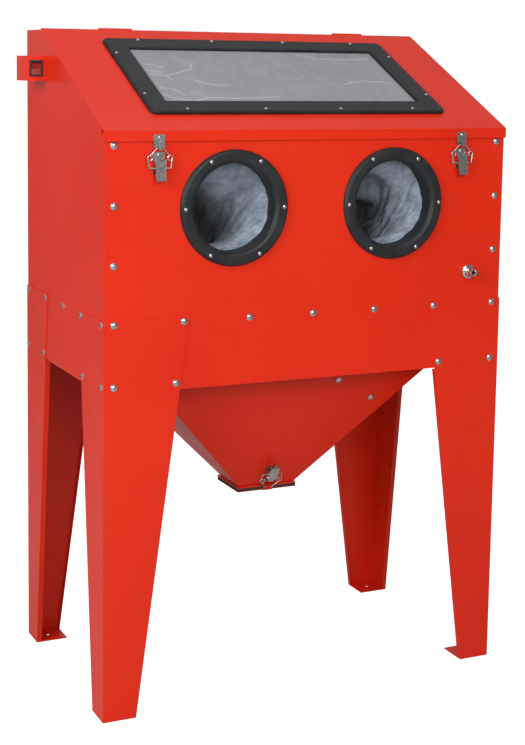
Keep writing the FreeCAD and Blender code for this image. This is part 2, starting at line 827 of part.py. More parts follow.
def fastener_row(spots, face, outward_axis, stack):
    """Screw and nut places: spots on a face, the outward direction and the stack they clamp."""
    rows = []
    for first, height in spots:
        if outward_axis[0]:
            seat_point = (outward_axis[0] * face, num(first), num(height))
        else:
            seat_point = (num(first), outward_axis[1] * face, num(height))
        rows.append((seat_point, outward_axis, stack))
    return rows


leg_stack = num(LEG_T) + num(T)
fasteners = []
OUT_D = num(HALF_D)
OUT_W = num(HALF_W)
for end in (-1, 1):
    facing = (0, end, 0)
    upper_legs = both_sides(LEG_FRONT_SCREWS[:2])
    lower_legs = both_sides(LEG_FRONT_SCREWS[2:])
    fasteners += fastener_row(upper_legs, OUT_D + num(LEG_T), facing, leg_stack + num(WALL_Y))
    fasteners += fastener_row(lower_legs, OUT_D + num(LEG_T), facing, leg_stack)
    fasteners += fastener_row(ROW_SCREWS, OUT_D, facing, num(T) + num(WALL_Y))
    fasteners += fastener_row(both_sides(UPPER_SCREWS), OUT_D, facing, num(T) * 2)
for side in (-1, 1):
    facing = (side, 0, 0)
    upper_legs = both_sides(LEG_SIDE_SCREWS[:2])
    lower_legs = both_sides(LEG_SIDE_SCREWS[2:])
    fasteners += fastener_row(upper_legs, OUT_W + num(LEG_T), facing, leg_stack + num(WALL_X))
    fasteners += fastener_row(lower_legs, OUT_W + num(LEG_T), facing, leg_stack)
    fasteners += fastener_row([(Size.of(0), LEG_SCREW_Z)], OUT_W, facing, num(T) + num(WALL_X))

screw_length = num(dim("screw_end")) + num(dim("nut_height"))
screw_shapes = []
nut_shapes = []
nut_blank = hex_nut(num(dim("nut_across_corners")), num(dim("nut_height")), SCREW_R + num(SNUG))
for (x0, y0, z0), outward, stack in fasteners:
    screw = dome_head(
        num(dim("screw_head_radius")), num(dim("screw_head_height")), SCREW_R, stack + screw_length
    )
    screw_shapes.append(aimed(screw, x0, y0, z0, outward))
    depth = stack + num(dim("nut_height"))
    nut_place = (x0 - outward[0] * depth, y0 - outward[1] * depth, z0)
    nut_shapes.append(aimed(nut_blank, *nut_place, outward))
set_shape("panel_screws", Part.makeCompound(screw_shapes))
set_shape("panel_nuts", Part.makeCompound(nut_shapes))

# ---------------------------------------------------------------- glove ports
RING_T = dim("ring_thickness")
RING_IN = dim("ring_opening_radius")
RING_OUT = dim("ring_outer_radius")


def make_glove_ring(label, side):
    """Moulded flange outside the panel with a short collar that goes through it."""
    body = new_body(label)
    outline = [
        (RING_IN, -dim("ring_collar_depth")),
        (COLLAR_OUT, -dim("ring_collar_depth")),
        (COLLAR_OUT, Size.of(0)),
        (RING_OUT, Size.of(0)),
        (RING_OUT, RING_T * 0.5),
        (RING_OUT - 3, RING_T * 0.9),
        (RING_OUT - 7, RING_T),
        (RING_IN + 8, RING_T),
        (RING_IN + 3, RING_T * 0.8),
        (RING_IN, RING_T * 0.4),
    ]
    add_turned(body, "XZ_Plane", outline)
    spots = []
    for angle in RING_SCREW_ANGLES:
        across = dim("ring_screw_circle") * math.cos(math.radians(angle))
        up = dim("ring_screw_circle") * math.sin(math.radians(angle))
        spots.append((across, up, SMALL_HOLE))
    cut_through(body, "XY_Plane", circles=spots)
    place(body, side * RING_X, -HALF_D, RING_Z, axis=(1, 0, 0), angle=90)
    return keep(body, label)


make_glove_ring("glove_ring_left", -1)
make_glove_ring("glove_ring_right", 1)

small_head = num(dim("small_screw_head_radius"))
small_height = num(dim("small_screw_head_height"))
small_shank = num(dim("ring_screw_radius"))
small_end = num(dim("small_screw_end"))
ring_screw = dome_head(small_head, small_height, small_shank, num(RING_T) + num(T) + small_end)
ring_screws = []
for side in (-1, 1):
    for x0, z0 in ring_screw_spots(side):
        ring_screws.append(aimed(ring_screw, num(x0), -OUT_D - num(RING_T), num(z0), (0, -1, 0)))
set_shape("glove_ring_screws", Part.makeCompound(ring_screws))


def sleeve_section(x0, y0, z0, radius, lean):
    """A ring of the glove's sleeve, leaning further down as the arm bends."""
    circle = Part.makeCircle(radius, FreeCAD.Vector(0, 0, 0), FreeCAD.Vector(0, 1, 0))
    circle.rotate(FreeCAD.Vector(0, 0, 0), FreeCAD.Vector(1, 0, 0), -lean)
    circle.translate(FreeCAD.Vector(x0, y0, z0))
    return Part.Wire(circle)


def make_glove(label, side):
    """A coated-cloth gauntlet that hangs from the collar into the chamber, hollow to the fingers."""
    x0 = side * num(RING_X)
    z0 = num(RING_Z)
    cuff = num(COLLAR_OUT + SNUG)
    wall = num(dim("glove_wall"))
    mouth = -num(IN_D) + 2
    straight = -num(HALF_D) + num(dim("ring_collar_depth")) + 4
    # Each bend: how far back and how far down, its share of the cuff's radius, and its lean.
    bends = [
        (50, -5, 0.93, 10),
        (110, -26, 0.80, 25),
        (160, -58, 0.68, 42),
        (195, -98, 0.56, 60),
        (210, -140, 0.46, 80),
    ]
    outer = [sleeve_section(x0, mouth, z0, cuff + wall, 0), sleeve_section(x0, straight, z0, cuff + wall, 0)]
    inner = [sleeve_section(x0, mouth, z0, cuff, 0), sleeve_section(x0, straight, z0, cuff, 0)]
    for back, fall, share, lean in bends:
        radius = share * (cuff + wall)
        outer.append(sleeve_section(x0, straight + back, z0 + fall, radius, lean))
        inner.append(sleeve_section(x0, straight + back, z0 + fall, radius - wall, lean))
    last_back, last_fall = bends[-1][:2]
    outer.append(sleeve_section(x0, straight + last_back + 3, z0 + last_fall - 34, 0.34 * cuff, 88))
    shell = Part.makeLoft(outer, True, True).cut(Part.makeLoft(inner, True, True))
    return set_shape(label, shell)


make_glove("glove_left", -1)
make_glove("glove_right", 1)

clamps = []
band_inside = num(COLLAR_OUT + SNUG * 2 + dim("glove_wall"))
band_outside = band_inside + num(dim("clamp_thickness"))
band_width = num(dim("clamp_width"))
band_start = -num(IN_D) + num(dim("clamp_set_back"))
screw_box = (num(dim("clamp_screw_length")), band_width - 2, num(dim("clamp_screw_height")))
for side in (-1, 1):
    centre = FreeCAD.Vector(side * num(RING_X), band_start, num(RING_Z))
    along = FreeCAD.Vector(0, 1, 0)
    band = Part.makeCylinder(band_outside, band_width, centre, along)
    band = band.cut(Part.makeCylinder(band_inside, band_width, centre, along))
    corner = FreeCAD.Vector(centre.x - screw_box[0] / 2, band_start + 1, centre.z + band_outside - 0.5)
    band = band.fuse(Part.makeBox(*screw_box, corner))
    clamps.append(band)
set_shape("glove_clamps", Part.makeCompound(clamps))

# ---------------------------------------------------------------- lid
# The lid's pieces are drawn in the slope's own frame: x across, y up the slope from the fold,
# z square off the slope.
LID_UNDER = dim("seal_thickness")
LID_OVER = LID_UNDER + T
HINGE_R = dim("hinge_radius")
HINGE_Y = SLOPE_BACK - dim("hinge_set_back")
HINGE_Z = TOP + HINGE_R
HINGE_UP = (HINGE_Y + HALF_D) * COS + (HINGE_Z - FOLD) * SIN
HINGE_OFF = (HINGE_Z - FOLD) * COS - (HINGE_Y + HALF_D) * SIN
LID_END = HINGE_UP - HINGE_R - dim("hinge_end_gap")
LID_HALF = HALF_W + dim("lid_side_gap") + T
WINDOW_Y = dim("slope_length") / 2


def on_slope(thing):
    return place(thing, 0, -HALF_D, FOLD, axis=(1, 0, 0), angle=SLOPE_ANGLE)


seal = new_body("lid_seal")
SEAL = dim("seal_width")
SEAL_X = IN_W - dim("fold_clearance")
SEAL_LOW = dim("seal_inset")
SEAL_HIGH = dim("slope_length") - dim("seal_top_inset")
add_plate(seal, "XY_Plane", rectangle(-SEAL_X, SEAL_LOW, SEAL_X, SEAL_HIGH), Size.of(0), LID_UNDER)
seal_inner = rectangle(-SEAL_X + SEAL, SEAL_LOW + SEAL, SEAL_X - SEAL, SEAL_HIGH - SEAL)
cut_through(seal, "XY_Plane", polygons=[seal_inner])
keep(on_slope(seal), "lid_seal")

FRAME_X = HALF_W - dim("window_side_margin")
FRAME_Y = WINDOW_Y - dim("window_end_margin")
BORDER = dim("window_border")
GLASS_X = FRAME_X - BORDER + dim("glass_lap")
GLASS_Y = FRAME_Y - BORDER + dim("glass_lap")
WINDOW_SCREWS = []
for across in (-1.5, -0.5, 0.5, 1.5):
    for end in (-1, 1):
        reach = FRAME_Y - dim("window_screw_inset")
        WINDOW_SCREWS.append((dim("window_screw_pitch") * across, WINDOW_Y + end * reach))
for side in (-1, 1):
    for end in (-1, 1):
        up = WINDOW_Y + end * dim("window_side_screw_offset")
        WINDOW_SCREWS.append((side * (FRAME_X - dim("window_screw_inset")), up))
WINDOW_HOLES = holes(WINDOW_SCREWS, SMALL_HOLE)

lid = new_body("lid_panel")
inner_up = (-dim("lid_gap") + LID_UNDER * SIN) / COS
outer_up = (-dim("lid_gap") - T + LID_OVER * SIN) / COS
lip_outer = dim("lid_lip")
lip_inner = lip_outer - T * 0.6
section = [
    (outer_up - SIN * lip_outer, LID_OVER - COS * lip_outer),
    (inner_up - SIN * lip_inner, LID_UNDER - COS * lip_inner),
    (inner_up, LID_UNDER),
    (LID_END, LID_UNDER),
    (LID_END, LID_OVER),
    (outer_up, LID_OVER),
]
add_plate(lid, "YZ_Plane", section, -LID_HALF, LID_HALF * 2)
NOTCH = dim("lid_flange_notch")
flange_outline = [
    (NOTCH, LID_UNDER - dim("lid_side_flange")),
    (LID_END - NOTCH, LID_UNDER - dim("lid_side_flange")),
    (LID_END - NOTCH, LID_OVER),
    (NOTCH, LID_OVER),
]
add_plate(lid, "YZ_Plane", flange_outline, -LID_HALF, T)
add_plate(lid, "YZ_Plane", flange_outline, LID_HALF - T, T)
OPEN_X = GLASS_X - dim("glass_support")
OPEN_Y = GLASS_Y - dim("glass_support")
opening = rectangle(-OPEN_X, WINDOW_Y - OPEN_Y, OPEN_X, WINDOW_Y + OPEN_Y)
cut_through(lid, "XY_Plane", polygons=[opening], circles=WINDOW_HOLES)
on_slope(lid)
lid.Label = "lid_blank"
lid_drills = []
for side in (-1, 1):
    start = (side * LATCH_X, -HALF_D - 12, LATCH_Z + dim("keeper_rivet_rise"))
    lid_drills.append(rod(f"lid_drill_{side}", start, "y", RIVET_HOLE, Size.of(14)))
keep(cut("lid_panel", lid, lid_drills), "lid_panel")

frame = new_body("window_frame")


def frame_outline(half_x, half_y):
    return rectangle(-half_x, WINDOW_Y - half_y, half_x, WINDOW_Y + half_y)


def frame_layer(inner_x, inner_y, start, thickness):
    drawing = new_sketch(frame, "XY_Plane", start)
    draw_polygon(drawing, frame_outline(FRAME_X, FRAME_Y))
    draw_polygon(drawing, frame_outline(inner_x, inner_y))
    pad = frame.newObject("PartDesign::Pad", "frame_layer")
    pad.Profile = drawing
    bind(pad, "Length", thickness)
    frame.Tip = pad


def edges_where(shape, test):
    return [f"Edge{i}" for i, edge in enumerate(shape.Edges, start=1) if test(edge)]


GLASS_T = dim("glass_thickness")
FRAME_TOP = LID_OVER + dim("window_frame_thickness")
GLASS_GAP = dim("glass_clearance")
frame_layer(GLASS_X + GLASS_GAP, GLASS_Y + GLASS_GAP, LID_OVER, GLASS_T)
frame_layer(FRAME_X - BORDER, FRAME_Y - BORDER, LID_OVER + GLASS_T, FRAME_TOP - LID_OVER - GLASS_T)
doc.recompute()


def upright_at_outside(edge):
    point = edge.CenterOfMass
    at_side = abs(abs(point.x) - num(FRAME_X)) < 0.01
    return at_side and edge.BoundBox.XLength < 0.01 and edge.BoundBox.YLength < 0.01


blank = frame.Tip
outside_edges = edges_where(blank.Shape, upright_at_outside)
corners = frame.newObject("PartDesign::Fillet", "frame_corners")
corners.Base = (blank, outside_edges)
bind(corners, "Radius", dim("window_corner_radius"))
frame.Tip = corners
doc.recompute()
bevel = frame.newObject("PartDesign::Chamfer", "frame_bevel")
bevel.Base = (
    corners,
    edges_where(
        corners.Shape,
        lambda edge: edge.BoundBox.ZLength < 0.01 and abs(edge.CenterOfMass.z - num(FRAME_TOP)) < 0.01,
    ),
)
bind(bevel, "Size", dim("window_bevel"))
frame.Tip = bevel
cut_through(frame, "XY_Plane", circles=WINDOW_HOLES)
keep(on_slope(frame), "window_frame")

glass = new_body("window_glass")
add_plate(glass, "XY_Plane", frame_outline(GLASS_X, GLASS_Y), LID_OVER, GLASS_T)
keep(on_slope(glass), "window_glass")

SLOPE_PLACE = glass.Placement
window_stack = num(dim("window_frame_thickness")) + num(T)
window_screw = dome_head(small_head, small_height, small_shank, window_stack + small_end - 1)
window_screws = []
for x0, y0 in WINDOW_SCREWS:
    screw = window_screw.copy()
    screw.translate(FreeCAD.Vector(num(x0), num(y0), num(FRAME_TOP)))
    screw.Placement = SLOPE_PLACE.multiply(screw.Placement)
    window_screws.append(screw)
set_shape("window_screws", Part.makeCompound(window_screws))

# ---------------------------------------------------------------- hinges
KNUCKLE = dim("hinge_knuckle")
LEAF = dim("hinge_leaf")
LEAF_REACH = HINGE_R + dim("hinge_leaf_width")
CLEAR = HINGE_R + dim("hinge_leaf_gap")
PIN_R = dim("hinge_pin_radius")
HINGE_HALF = KNUCKLE * 2.5
PIN_HALF = HINGE_HALF + dim("hinge_pin_end")


def make_leaf(name, strips, tab, knuckles):
    """A rolled leaf, with its pin along x through the origin: strips run the whole hinge."""
    body = new_body(name)
    for strip in strips:
        add_plate(body, "YZ_Plane", strip, -HINGE_HALF, HINGE_HALF * 2)
    gap = dim("knuckle_gap") / 2
    for knuckle in knuckles:
        start = KNUCKLE * (knuckle - 2.5) + gap
        add_plate(body, "YZ_Plane", tab, start, KNUCKLE - gap * 2)
        add_disc(body, "YZ_Plane", (Size.of(0), Size.of(0)), HINGE_R, start, KNUCKLE - gap * 2)
    bore = PIN_R + SNUG
    cut_through(body, "YZ_Plane", circles=[(Size.of(0), Size.of(0), bore)])
    return body


def make_pin(name, x0, y0, z0):
    """A hinge pin along x, with its middle at a point."""
    pin = rod(name, (x0 - PIN_HALF, y0, z0), "x", PIN_R, PIN_HALF * 2)
    pins.append(pin)


FIXED = (0, 2, 4)
MOVING = (1, 3)
fixed_leaves = []
moving_leaves = []
pins = []
for side in (-1, 1):
    strip = rectangle(CLEAR, -HINGE_R, LEAF_REACH, -HINGE_R + LEAF)
    tab = rectangle(Size.of(0), -HINGE_R, CLEAR, -HINGE_R + LEAF)
    leaf = make_leaf(f"lid_fixed_leaf_{side}", [strip], tab, FIXED)
    fixed_leaves.append(place(leaf, side * dim("lid_hinge_spread"), HINGE_Y, HINGE_Z))
    low = LID_UNDER - HINGE_OFF - LEAF
    strip = rectangle(-LEAF_REACH, low, -CLEAR, low + LEAF)
    tab = rectangle(-CLEAR, low, Size.of(0), low + LEAF)
    leaf = make_leaf(f"lid_moving_leaf_{side}", [strip], tab, MOVING)
    place(leaf, side * dim("lid_hinge_spread"), HINGE_Y, HINGE_Z, axis=(1, 0, 0), angle=SLOPE_ANGLE)
    moving_leaves.append(leaf)
    make_pin(f"lid_pin_{side}", side * dim("lid_hinge_spread"), HINGE_Y, HINGE_Z)

DOOR_HINGE_Y = RIM_BACK + HINGE_R + dim("hinge_end_gap")
DOOR_HINGE_Z = OUT_Z + LEAF - HINGE_R
DOOR_UNDER = RIM_Z - dim("door_gasket") - T
strip = rectangle(-(HINGE_R + dim("door_leaf_width")), HINGE_R - LEAF, -CLEAR, HINGE_R)
tab = rectangle(-CLEAR, HINGE_R - LEAF, Size.of(0), HINGE_R)
leaf = make_leaf("door_fixed_leaf", [strip], tab, FIXED)
fixed_leaves.append(place(leaf, 0, DOOR_HINGE_Y, DOOR_HINGE_Z))
foot_low = DOOR_UNDER - LEAF - DOOR_HINGE_Z
web = rectangle(HINGE_R - LEAF, foot_low, HINGE_R, -CLEAR)
foot = rectangle(-(HINGE_R + dim("door_foot_width")), foot_low, HINGE_R, foot_low + LEAF)
tab = rectangle(HINGE_R - LEAF, -CLEAR, HINGE_R, Size.of(0))
leaf = make_leaf("door_hinge_leaf", [web, foot], tab, MOVING)
keep(place(leaf, 0, DOOR_HINGE_Y, DOOR_HINGE_Z), "door_hinge_leaf")
make_pin("door_pin", Size.of(0), DOOR_HINGE_Y, DOOR_HINGE_Z)
group("hinge_fixed_leaves", fixed_leaves)
group("lid_hinge_leaves", moving_leaves)
group("hinge_pins", pins)

# ---------------------------------------------------------------- toggle latches
# A latch is drawn standing on its mounting face: x across, -y off the face, z towards the hook it
# pulls. Its lever's pivot is straight off the origin.
PIVOT = -dim("latch_pivot_out")
THROW = dim("latch_throw")
REACH = dim("latch_reach")
LATCH_T = dim("latch_sheet")
LEVER_X = dim("latch_half_width")
WIRE = dim("latch_wire_radius")
EAR_X = LEVER_X + dim("latch_side_gap")
PIVOT_R = dim("latch_pivot_radius")
LEVER_FALL = dim("latch_lever_length")


def make_latch_base(name, packer):
    body = new_body(name)
    half = EAR_X + LATCH_T
    plate_outline = rectangle(-half, -dim("latch_plate_fall"), half, dim("latch_plate_rise"))
    add_plate(body, "XZ_Plane", plate_outline, -LATCH_T, LATCH_T + packer)
    ear = [
        (-LATCH_T, -8),
        (-LATCH_T, 8),
        (PIVOT - 1, 5),
        (PIVOT - 4, 2),
        (PIVOT - 4, -2),
        (PIVOT - 1, -5),
    ]
    add_plate(body, "YZ_Plane", ear, -half, LATCH_T)
    add_plate(body, "YZ_Plane", ear, EAR_X, LATCH_T)
    add_disc(body, "YZ_Plane", (PIVOT, Size.of(0)), PIVOT_R, -half, half * 2)
    rivet_spots = [(Size.of(0), Size.of(offset), RIVET_HOLE) for offset in BASE_RIVETS]
    cut_through(body, "XZ_Plane", circles=rivet_spots)
    return body


def make_latch_lever(name):
    body = new_body(name)
    inside = PIVOT - 5
    outside = inside - LATCH_T
    web = [
        (inside, 2),
        (outside, 2),
        (outside, -LEVER_FALL + 10),
        (outside - 4.5, -LEVER_FALL),
        (outside - 3.1, -LEVER_FALL - 0.6),
        (inside, -LEVER_FALL + 10),
    ]
    add_plate(body, "YZ_Plane", web, -LEVER_X, LEVER_X * 2)
    cheek = [
        (inside, 2),
        (PIVOT, 4.5),
        (PIVOT + 3.5, 2),
        (PIVOT + 3.5, -THROW - 1),
        (PIVOT + 1, -THROW - 4),
        (inside, -THROW - 10),
    ]
    add_plate(body, "YZ_Plane", cheek, -LEVER_X, LATCH_T)
    add_plate(body, "YZ_Plane", cheek, LEVER_X - LATCH_T, LATCH_T)
    pivots = [(PIVOT, Size.of(0), PIVOT_R + SNUG), (PIVOT, -THROW, WIRE + SNUG)]
    cut_through(body, "YZ_Plane", circles=pivots)
    return body


def straight_wire(name, start, stop):
    """A straight length of the loop's wire between two points (x, z) in the loop's plane."""
    run = num(stop[0]) - num(start[0])
    rise = num(stop[1]) - num(start[1])
    piece = doc.addObject("Part::Cylinder", name)
    bind(piece, "Radius", WIRE)
    piece.Height = math.hypot(run, rise)
    lean = math.degrees(math.atan2(run, rise))
    return place(piece, start[0], PIVOT, start[1], axis=(0, 1, 0), angle=lean)


def wire_bend(name, spot):
    piece = doc.addObject("Part::Sphere", name)
    bind(piece, "Radius", WIRE)
    return place(piece, spot[0], PIVOT, spot[1])


def make_latch_loop(name):
    """Spring wire: a bar through the lever, a curl at each side and a crossbar for the hook."""
    curl_r = dim("latch_curl_radius")
    bar_x = LEVER_X + dim("latch_bar_reach")
    curl_x = bar_x - 2
    curl_z = REACH * 0.3
    cross_x = dim("latch_crossbar_half")
    pieces = [straight_wire(f"{name}_bar", (-bar_x, -THROW), (bar_x, -THROW))]
    pieces.append(straight_wire(f"{name}_crossbar", (-cross_x, REACH), (cross_x, REACH)))
    for side in (-1, 1):
        tag = f"{name}_{side}"
        foot_spot = (side * bar_x, -THROW)
        low_spot = (side * (curl_x + curl_r), curl_z)
        high_spot = (side * curl_x, curl_z + curl_r)
        end_spot = (side * cross_x, REACH)
        pieces.append(straight_wire(f"{tag}_low", foot_spot, low_spot))
        pieces.append(straight_wire(f"{tag}_high", high_spot, end_spot))
        for count, spot in enumerate((foot_spot, low_spot, high_spot, end_spot)):
            pieces.append(wire_bend(f"{tag}_bend_{count}", spot))
        curl = doc.addObject("Part::Torus", f"{tag}_curl")
        bind(curl, "Radius1", curl_r)
        bind(curl, "Radius2", WIRE)
        pieces.append(place(curl, side * curl_x, PIVOT, curl_z, axis=(1, 0, 0), angle=90))
    return fuse(name, pieces)


HOOK_X = dim("hook_half_width")
PLATE_X = dim("keeper_half_width")
STAND_OFF = dim("lid_gap") + T


def add_hook(body, plate_top):
    """The hooked tongue that a loop's crossbar pulls on, and the plate that carries it."""
    back = -STAND_OFF
    face = back - LATCH_T
    hook_low = REACH - WIRE - dim("hook_drop")
    lip = PIVOT - WIRE - 0.75
    tongue = [
        (back, hook_low),
        (back, REACH + 3),
        (face, REACH + 3),
        (face, hook_low + LATCH_T),
        (lip, hook_low + LATCH_T),
        (lip, REACH + 5),
        (lip - LATCH_T, REACH + 5),
        (lip - LATCH_T, hook_low),
    ]
    add_plate(body, "YZ_Plane", tongue, -HOOK_X, HOOK_X * 2)
    add_plate(body, "XZ_Plane", rectangle(-PLATE_X, REACH + 2, PLATE_X, plate_top), face, LATCH_T)


bases = []
keepers = []
for side, side_name in ((-1, "left"), (1, "right")):
    spot = (side * LATCH_X, -HALF_D, LATCH_Z)
    bases.append(place(make_latch_base(f"{side_name}_base", Size.of(0)), *spot))
    keep(place(make_latch_lever(f"{side_name}_latch_lever"), *spot), f"{side_name}_latch_lever")
    keep(place(make_latch_loop(f"{side_name}_latch_loop"), *spot), f"{side_name}_latch_loop")
    keeper = new_body(f"{side_name}_keeper")
    add_hook(keeper, dim("keeper_length"))
    cut_through(keeper, "XZ_Plane", circles=[(Size.of(0), dim("keeper_rivet_rise"), RIVET_HOLE)])
    keepers.append(place(keeper, *spot))

PACKER = dim("door_latch_packer")
RISE = dim("door_latch_rise")
hopper_angle = math.radians(num(dim("hopper_angle")))
down_face = FreeCAD.Vector(0, math.sin(hopper_angle), -math.cos(hopper_angle))
off_face = FreeCAD.Vector(0, -math.cos(hopper_angle), -math.sin(hopper_angle))
face_foot = FreeCAD.Vector(0, -num(OUT_Y), num(OUT_Z))
door_latch_spot = face_foot - down_face * num(RISE) + off_face * num(PACKER)
door_latch_turn = FreeCAD.Rotation(FreeCAD.Vector(-1, 0, 0), -off_face, down_face, "XYZ")
DOOR_LATCH = FreeCAD.Placement(door_latch_spot, door_latch_turn)
bases.append(seat(make_latch_base("door_base", PACKER), DOOR_LATCH))
keep(seat(make_latch_lever("door_latch_lever"), DOOR_LATCH), "door_latch_lever")
keep(seat(make_latch_loop("door_latch_loop"), DOOR_LATCH), "door_latch_loop")
group("latch_bases", bases)
group("latch_keepers", keepers)

rivets = []
rivet_end = num(LATCH_T + T) + 1.5
rivet_head = (num(dim("rivet_head_radius")), num(dim("rivet_head_height")), num(RIVET))
rivet_blank = dome_head(*rivet_head, rivet_end, False)
packed_rivet = dome_head(*rivet_head, rivet_end + num(PACKER) + 0.5, False)
for offset in BASE_RIVETS:
    for side in (-1, 1):
        spot = (side * num(LATCH_X), -OUT_D - num(LATCH_T), num(LATCH_Z) + offset)
        rivets.append(aimed(rivet_blank, *spot, (0, -1, 0)))
    spot = DOOR_LATCH.multVec(FreeCAD.Vector(0, -num(LATCH_T), offset))
    rivets.append(aimed(packed_rivet, spot.x, spot.y, spot.z, (off_face.x, off_face.y, off_face.z)))
set_shape("latch_rivets", Part.makeCompound(rivets))
keeper_rivets = []
for side in (-1, 1):
    spot = (side * num(LATCH_X), -num(HALF_D + STAND_OFF + LATCH_T), num(LATCH_Z + dim("keeper_rivet_rise")))
    keeper_rivets.append(aimed(rivet_blank, *spot, (0, -1, 0)))
set_shape("keeper_rivets", Part.makeCompound(keeper_rivets))

# ---------------------------------------------------------------- clean-out door
DOOR_X = OUT_X + RIM
DOOR_BACK = OUT_Y + RIM + dim("door_hinge_back")
gasket = new_body("door_gasket")
door_outline = rectangle(-DOOR_X, -(OUT_Y + RIM), DOOR_X, DOOR_BACK)
add_plate(gasket, "XY_Plane", door_outline, RIM_Z - dim("door_gasket"), dim("door_gasket"))
keep(gasket, "door_gasket")
door_plate = new_body("door_plate")
add_plate(door_plate, "XY_Plane", door_outline, DOOR_UNDER, T)
tongue_outline = rectangle(-PLATE_X, -(OUT_Y + RIM + dim("door_tongue")), PLATE_X, Size.of(0))
add_plate(door_plate, "XY_Plane", tongue_outline, DOOR_UNDER, T)
door_tab = new_body("door_tab")
tab_fall = OUT_Z - DOOR_UNDER - (PACKER + STAND_OFF) * math.sin(hopper_angle)
add_hook(door_tab, RISE + tab_fall / math.cos(hopper_angle) + dim("door_tab_end"))
seat(door_tab, DOOR_LATCH)
keep(fuse("cleanout_door", [door_plate, door_tab]), "cleanout_door")

# ---------------------------------------------------------------- media pick-up in the hopper
PICKUP_R = num(dim("pickup_radius"))
FIT = num(dim("small_clearance"))


def on_hopper_front(across, up, depth):
    """A point on the hopper's front wall, up from the outlet's edge and depth inside it."""
    return face_foot - down_face * up - off_face * depth + FreeCAD.Vector(across, 0, 0)


def strap_screw(end):
    across = num(dim(f"strap_{end}_screw_across"))
    return on_hopper_front(across, num(dim(f"strap_{end}_screw_rise")), 0)


wall_normal = num(WALL_Y) * math.cos(hopper_angle)
strap_first = strap_screw("upper")
strap_second = strap_screw("lower")
strap_middle = (strap_first + strap_second) * 0.5
tube_course = (strap_middle - on_hopper_front(0, 0, 0)).normalize()
tube_depth = wall_normal + PICKUP_R + FIT
tube_foot = on_hopper_front(0, 0, tube_depth) + tube_course * num(dim("pickup_start"))
tube_length = num(dim("pickup_length"))
tube = Part.makeCylinder(PICKUP_R, tube_length, tube_foot, tube_course)
tube = tube.cut(Part.makeCylinder(num(dim("pickup_bore")), tube_length, tube_foot, tube_course))
set_shape("pickup_tube", tube)

# The strap is drawn flat on z = 0 with the tube along y, then laid on the wall across the tube.
STRAP_T = num(dim("strap_thickness"))
STRAP_WIDE = num(dim("strap_width"))
STRAP_END = num(dim("strap_end"))
ALONG_TUBE = FreeCAD.Vector(0, 1, 0)


def strap_block(half_x, low_z, height):
    corner = FreeCAD.Vector(-half_x, -STRAP_WIDE / 2, low_z)
    return Part.makeBox(half_x * 2, STRAP_WIDE, height, corner)


def strap_arch(radius):
    """The outline of the tube, or of the strap over it: round on top and straight down its sides."""
    axis_height = PICKUP_R + FIT
    middle = FreeCAD.Vector(0, -STRAP_WIDE / 2, axis_height)
    round_top = Part.makeCylinder(radius, STRAP_WIDE, middle, ALONG_TUBE)
    return round_top.fuse(strap_block(radius, 0, axis_height))


strap_half = (strap_second - strap_first).Length / 2 + STRAP_END
strap_across = (strap_first - strap_second).normalize()
strap_turn = FreeCAD.Rotation(strap_across, tube_course, FreeCAD.Vector(0, 0, 1), "XYZ")
strap_up = strap_turn.multVec(FreeCAD.Vector(0, 0, 1))
arch_radius = PICKUP_R + STRAP_T + FIT
strap = strap_block(strap_half, 0, STRAP_T).fuse(strap_arch(arch_radius))
strap = strap.cut(strap_arch(PICKUP_R + FIT / 2))
strap = strap.cut(strap_block(arch_radius, -STRAP_T * 2, STRAP_T * 2))
for end in (-1, 1):
    hole_spot = FreeCAD.Vector(end * (strap_half - STRAP_END), 0, -1)
    strap = strap.cut(Part.makeCylinder(num(SCREW_HOLE), STRAP_T + 2, hole_spot))
strap = strap.removeSplitter()
strap.Placement = FreeCAD.Placement(strap_middle + strap_up * wall_normal, strap_turn)
set_shape("pickup_clip", strap)

# The hopper's front wall is drilled for the clip's two screws.
hopper_front = next(piece for piece in SUBPARTS if piece.Label == "hopper_front")
SUBPARTS.remove(hopper_front)
hopper_front.Label = "hopper_front_blank"
drills = []
for count, spot in enumerate((strap_first, strap_second)):
    drill = doc.addObject("Part::Cylinder", f"clip_drill_{count}")
    bind(drill, "Radius", SCREW_HOLE)
    drill.Height = 20
    turn = FreeCAD.Rotation(FreeCAD.Vector(0, 0, 1), -off_face)
    drills.append(seat(drill, FreeCAD.Placement(spot + off_face * 10, turn)))
for count, offset in enumerate(BASE_RIVETS):
    drill = doc.addObject("Part::Cylinder", f"rivet_drill_{count}")
    bind(drill, "Radius", RIVET_HOLE)
    drill.Height = 20
    turn = FreeCAD.Rotation(FreeCAD.Vector(0, 0, 1), off_face)
    spot = DOOR_LATCH.multVec(FreeCAD.Vector(0, 10, offset))
    drills.append(seat(drill, FreeCAD.Placement(spot, turn)))
keep(cut("hopper_front", hopper_front, drills), "hopper_front")

clip_screw = dome_head(
    num(dim("screw_head_radius")),
    num(dim("screw_head_height")),
    SCREW_R,
    wall_normal + STRAP_T + screw_length,
)
outward = (off_face.x, off_face.y, off_face.z)
clip_screws = []
clip_nuts = []
for spot in (strap_first, strap_second):
    clip_screws.append(aimed(clip_screw, spot.x, spot.y, spot.z, outward))
    seat_depth = wall_normal + STRAP_T + num(dim("nut_height"))
    nut_spot = spot - off_face * seat_depth
    clip_nuts.append(aimed(nut_blank, nut_spot.x, nut_spot.y, nut_spot.z, outward))
for label, extra in (("panel_screws", clip_screws), ("panel_nuts", clip_nuts)):
    fasteners = next(piece for piece in SUBPARTS if piece.Label == label)
    fasteners.Shape = Part.makeCompound(fasteners.Shape.Solids + extra)

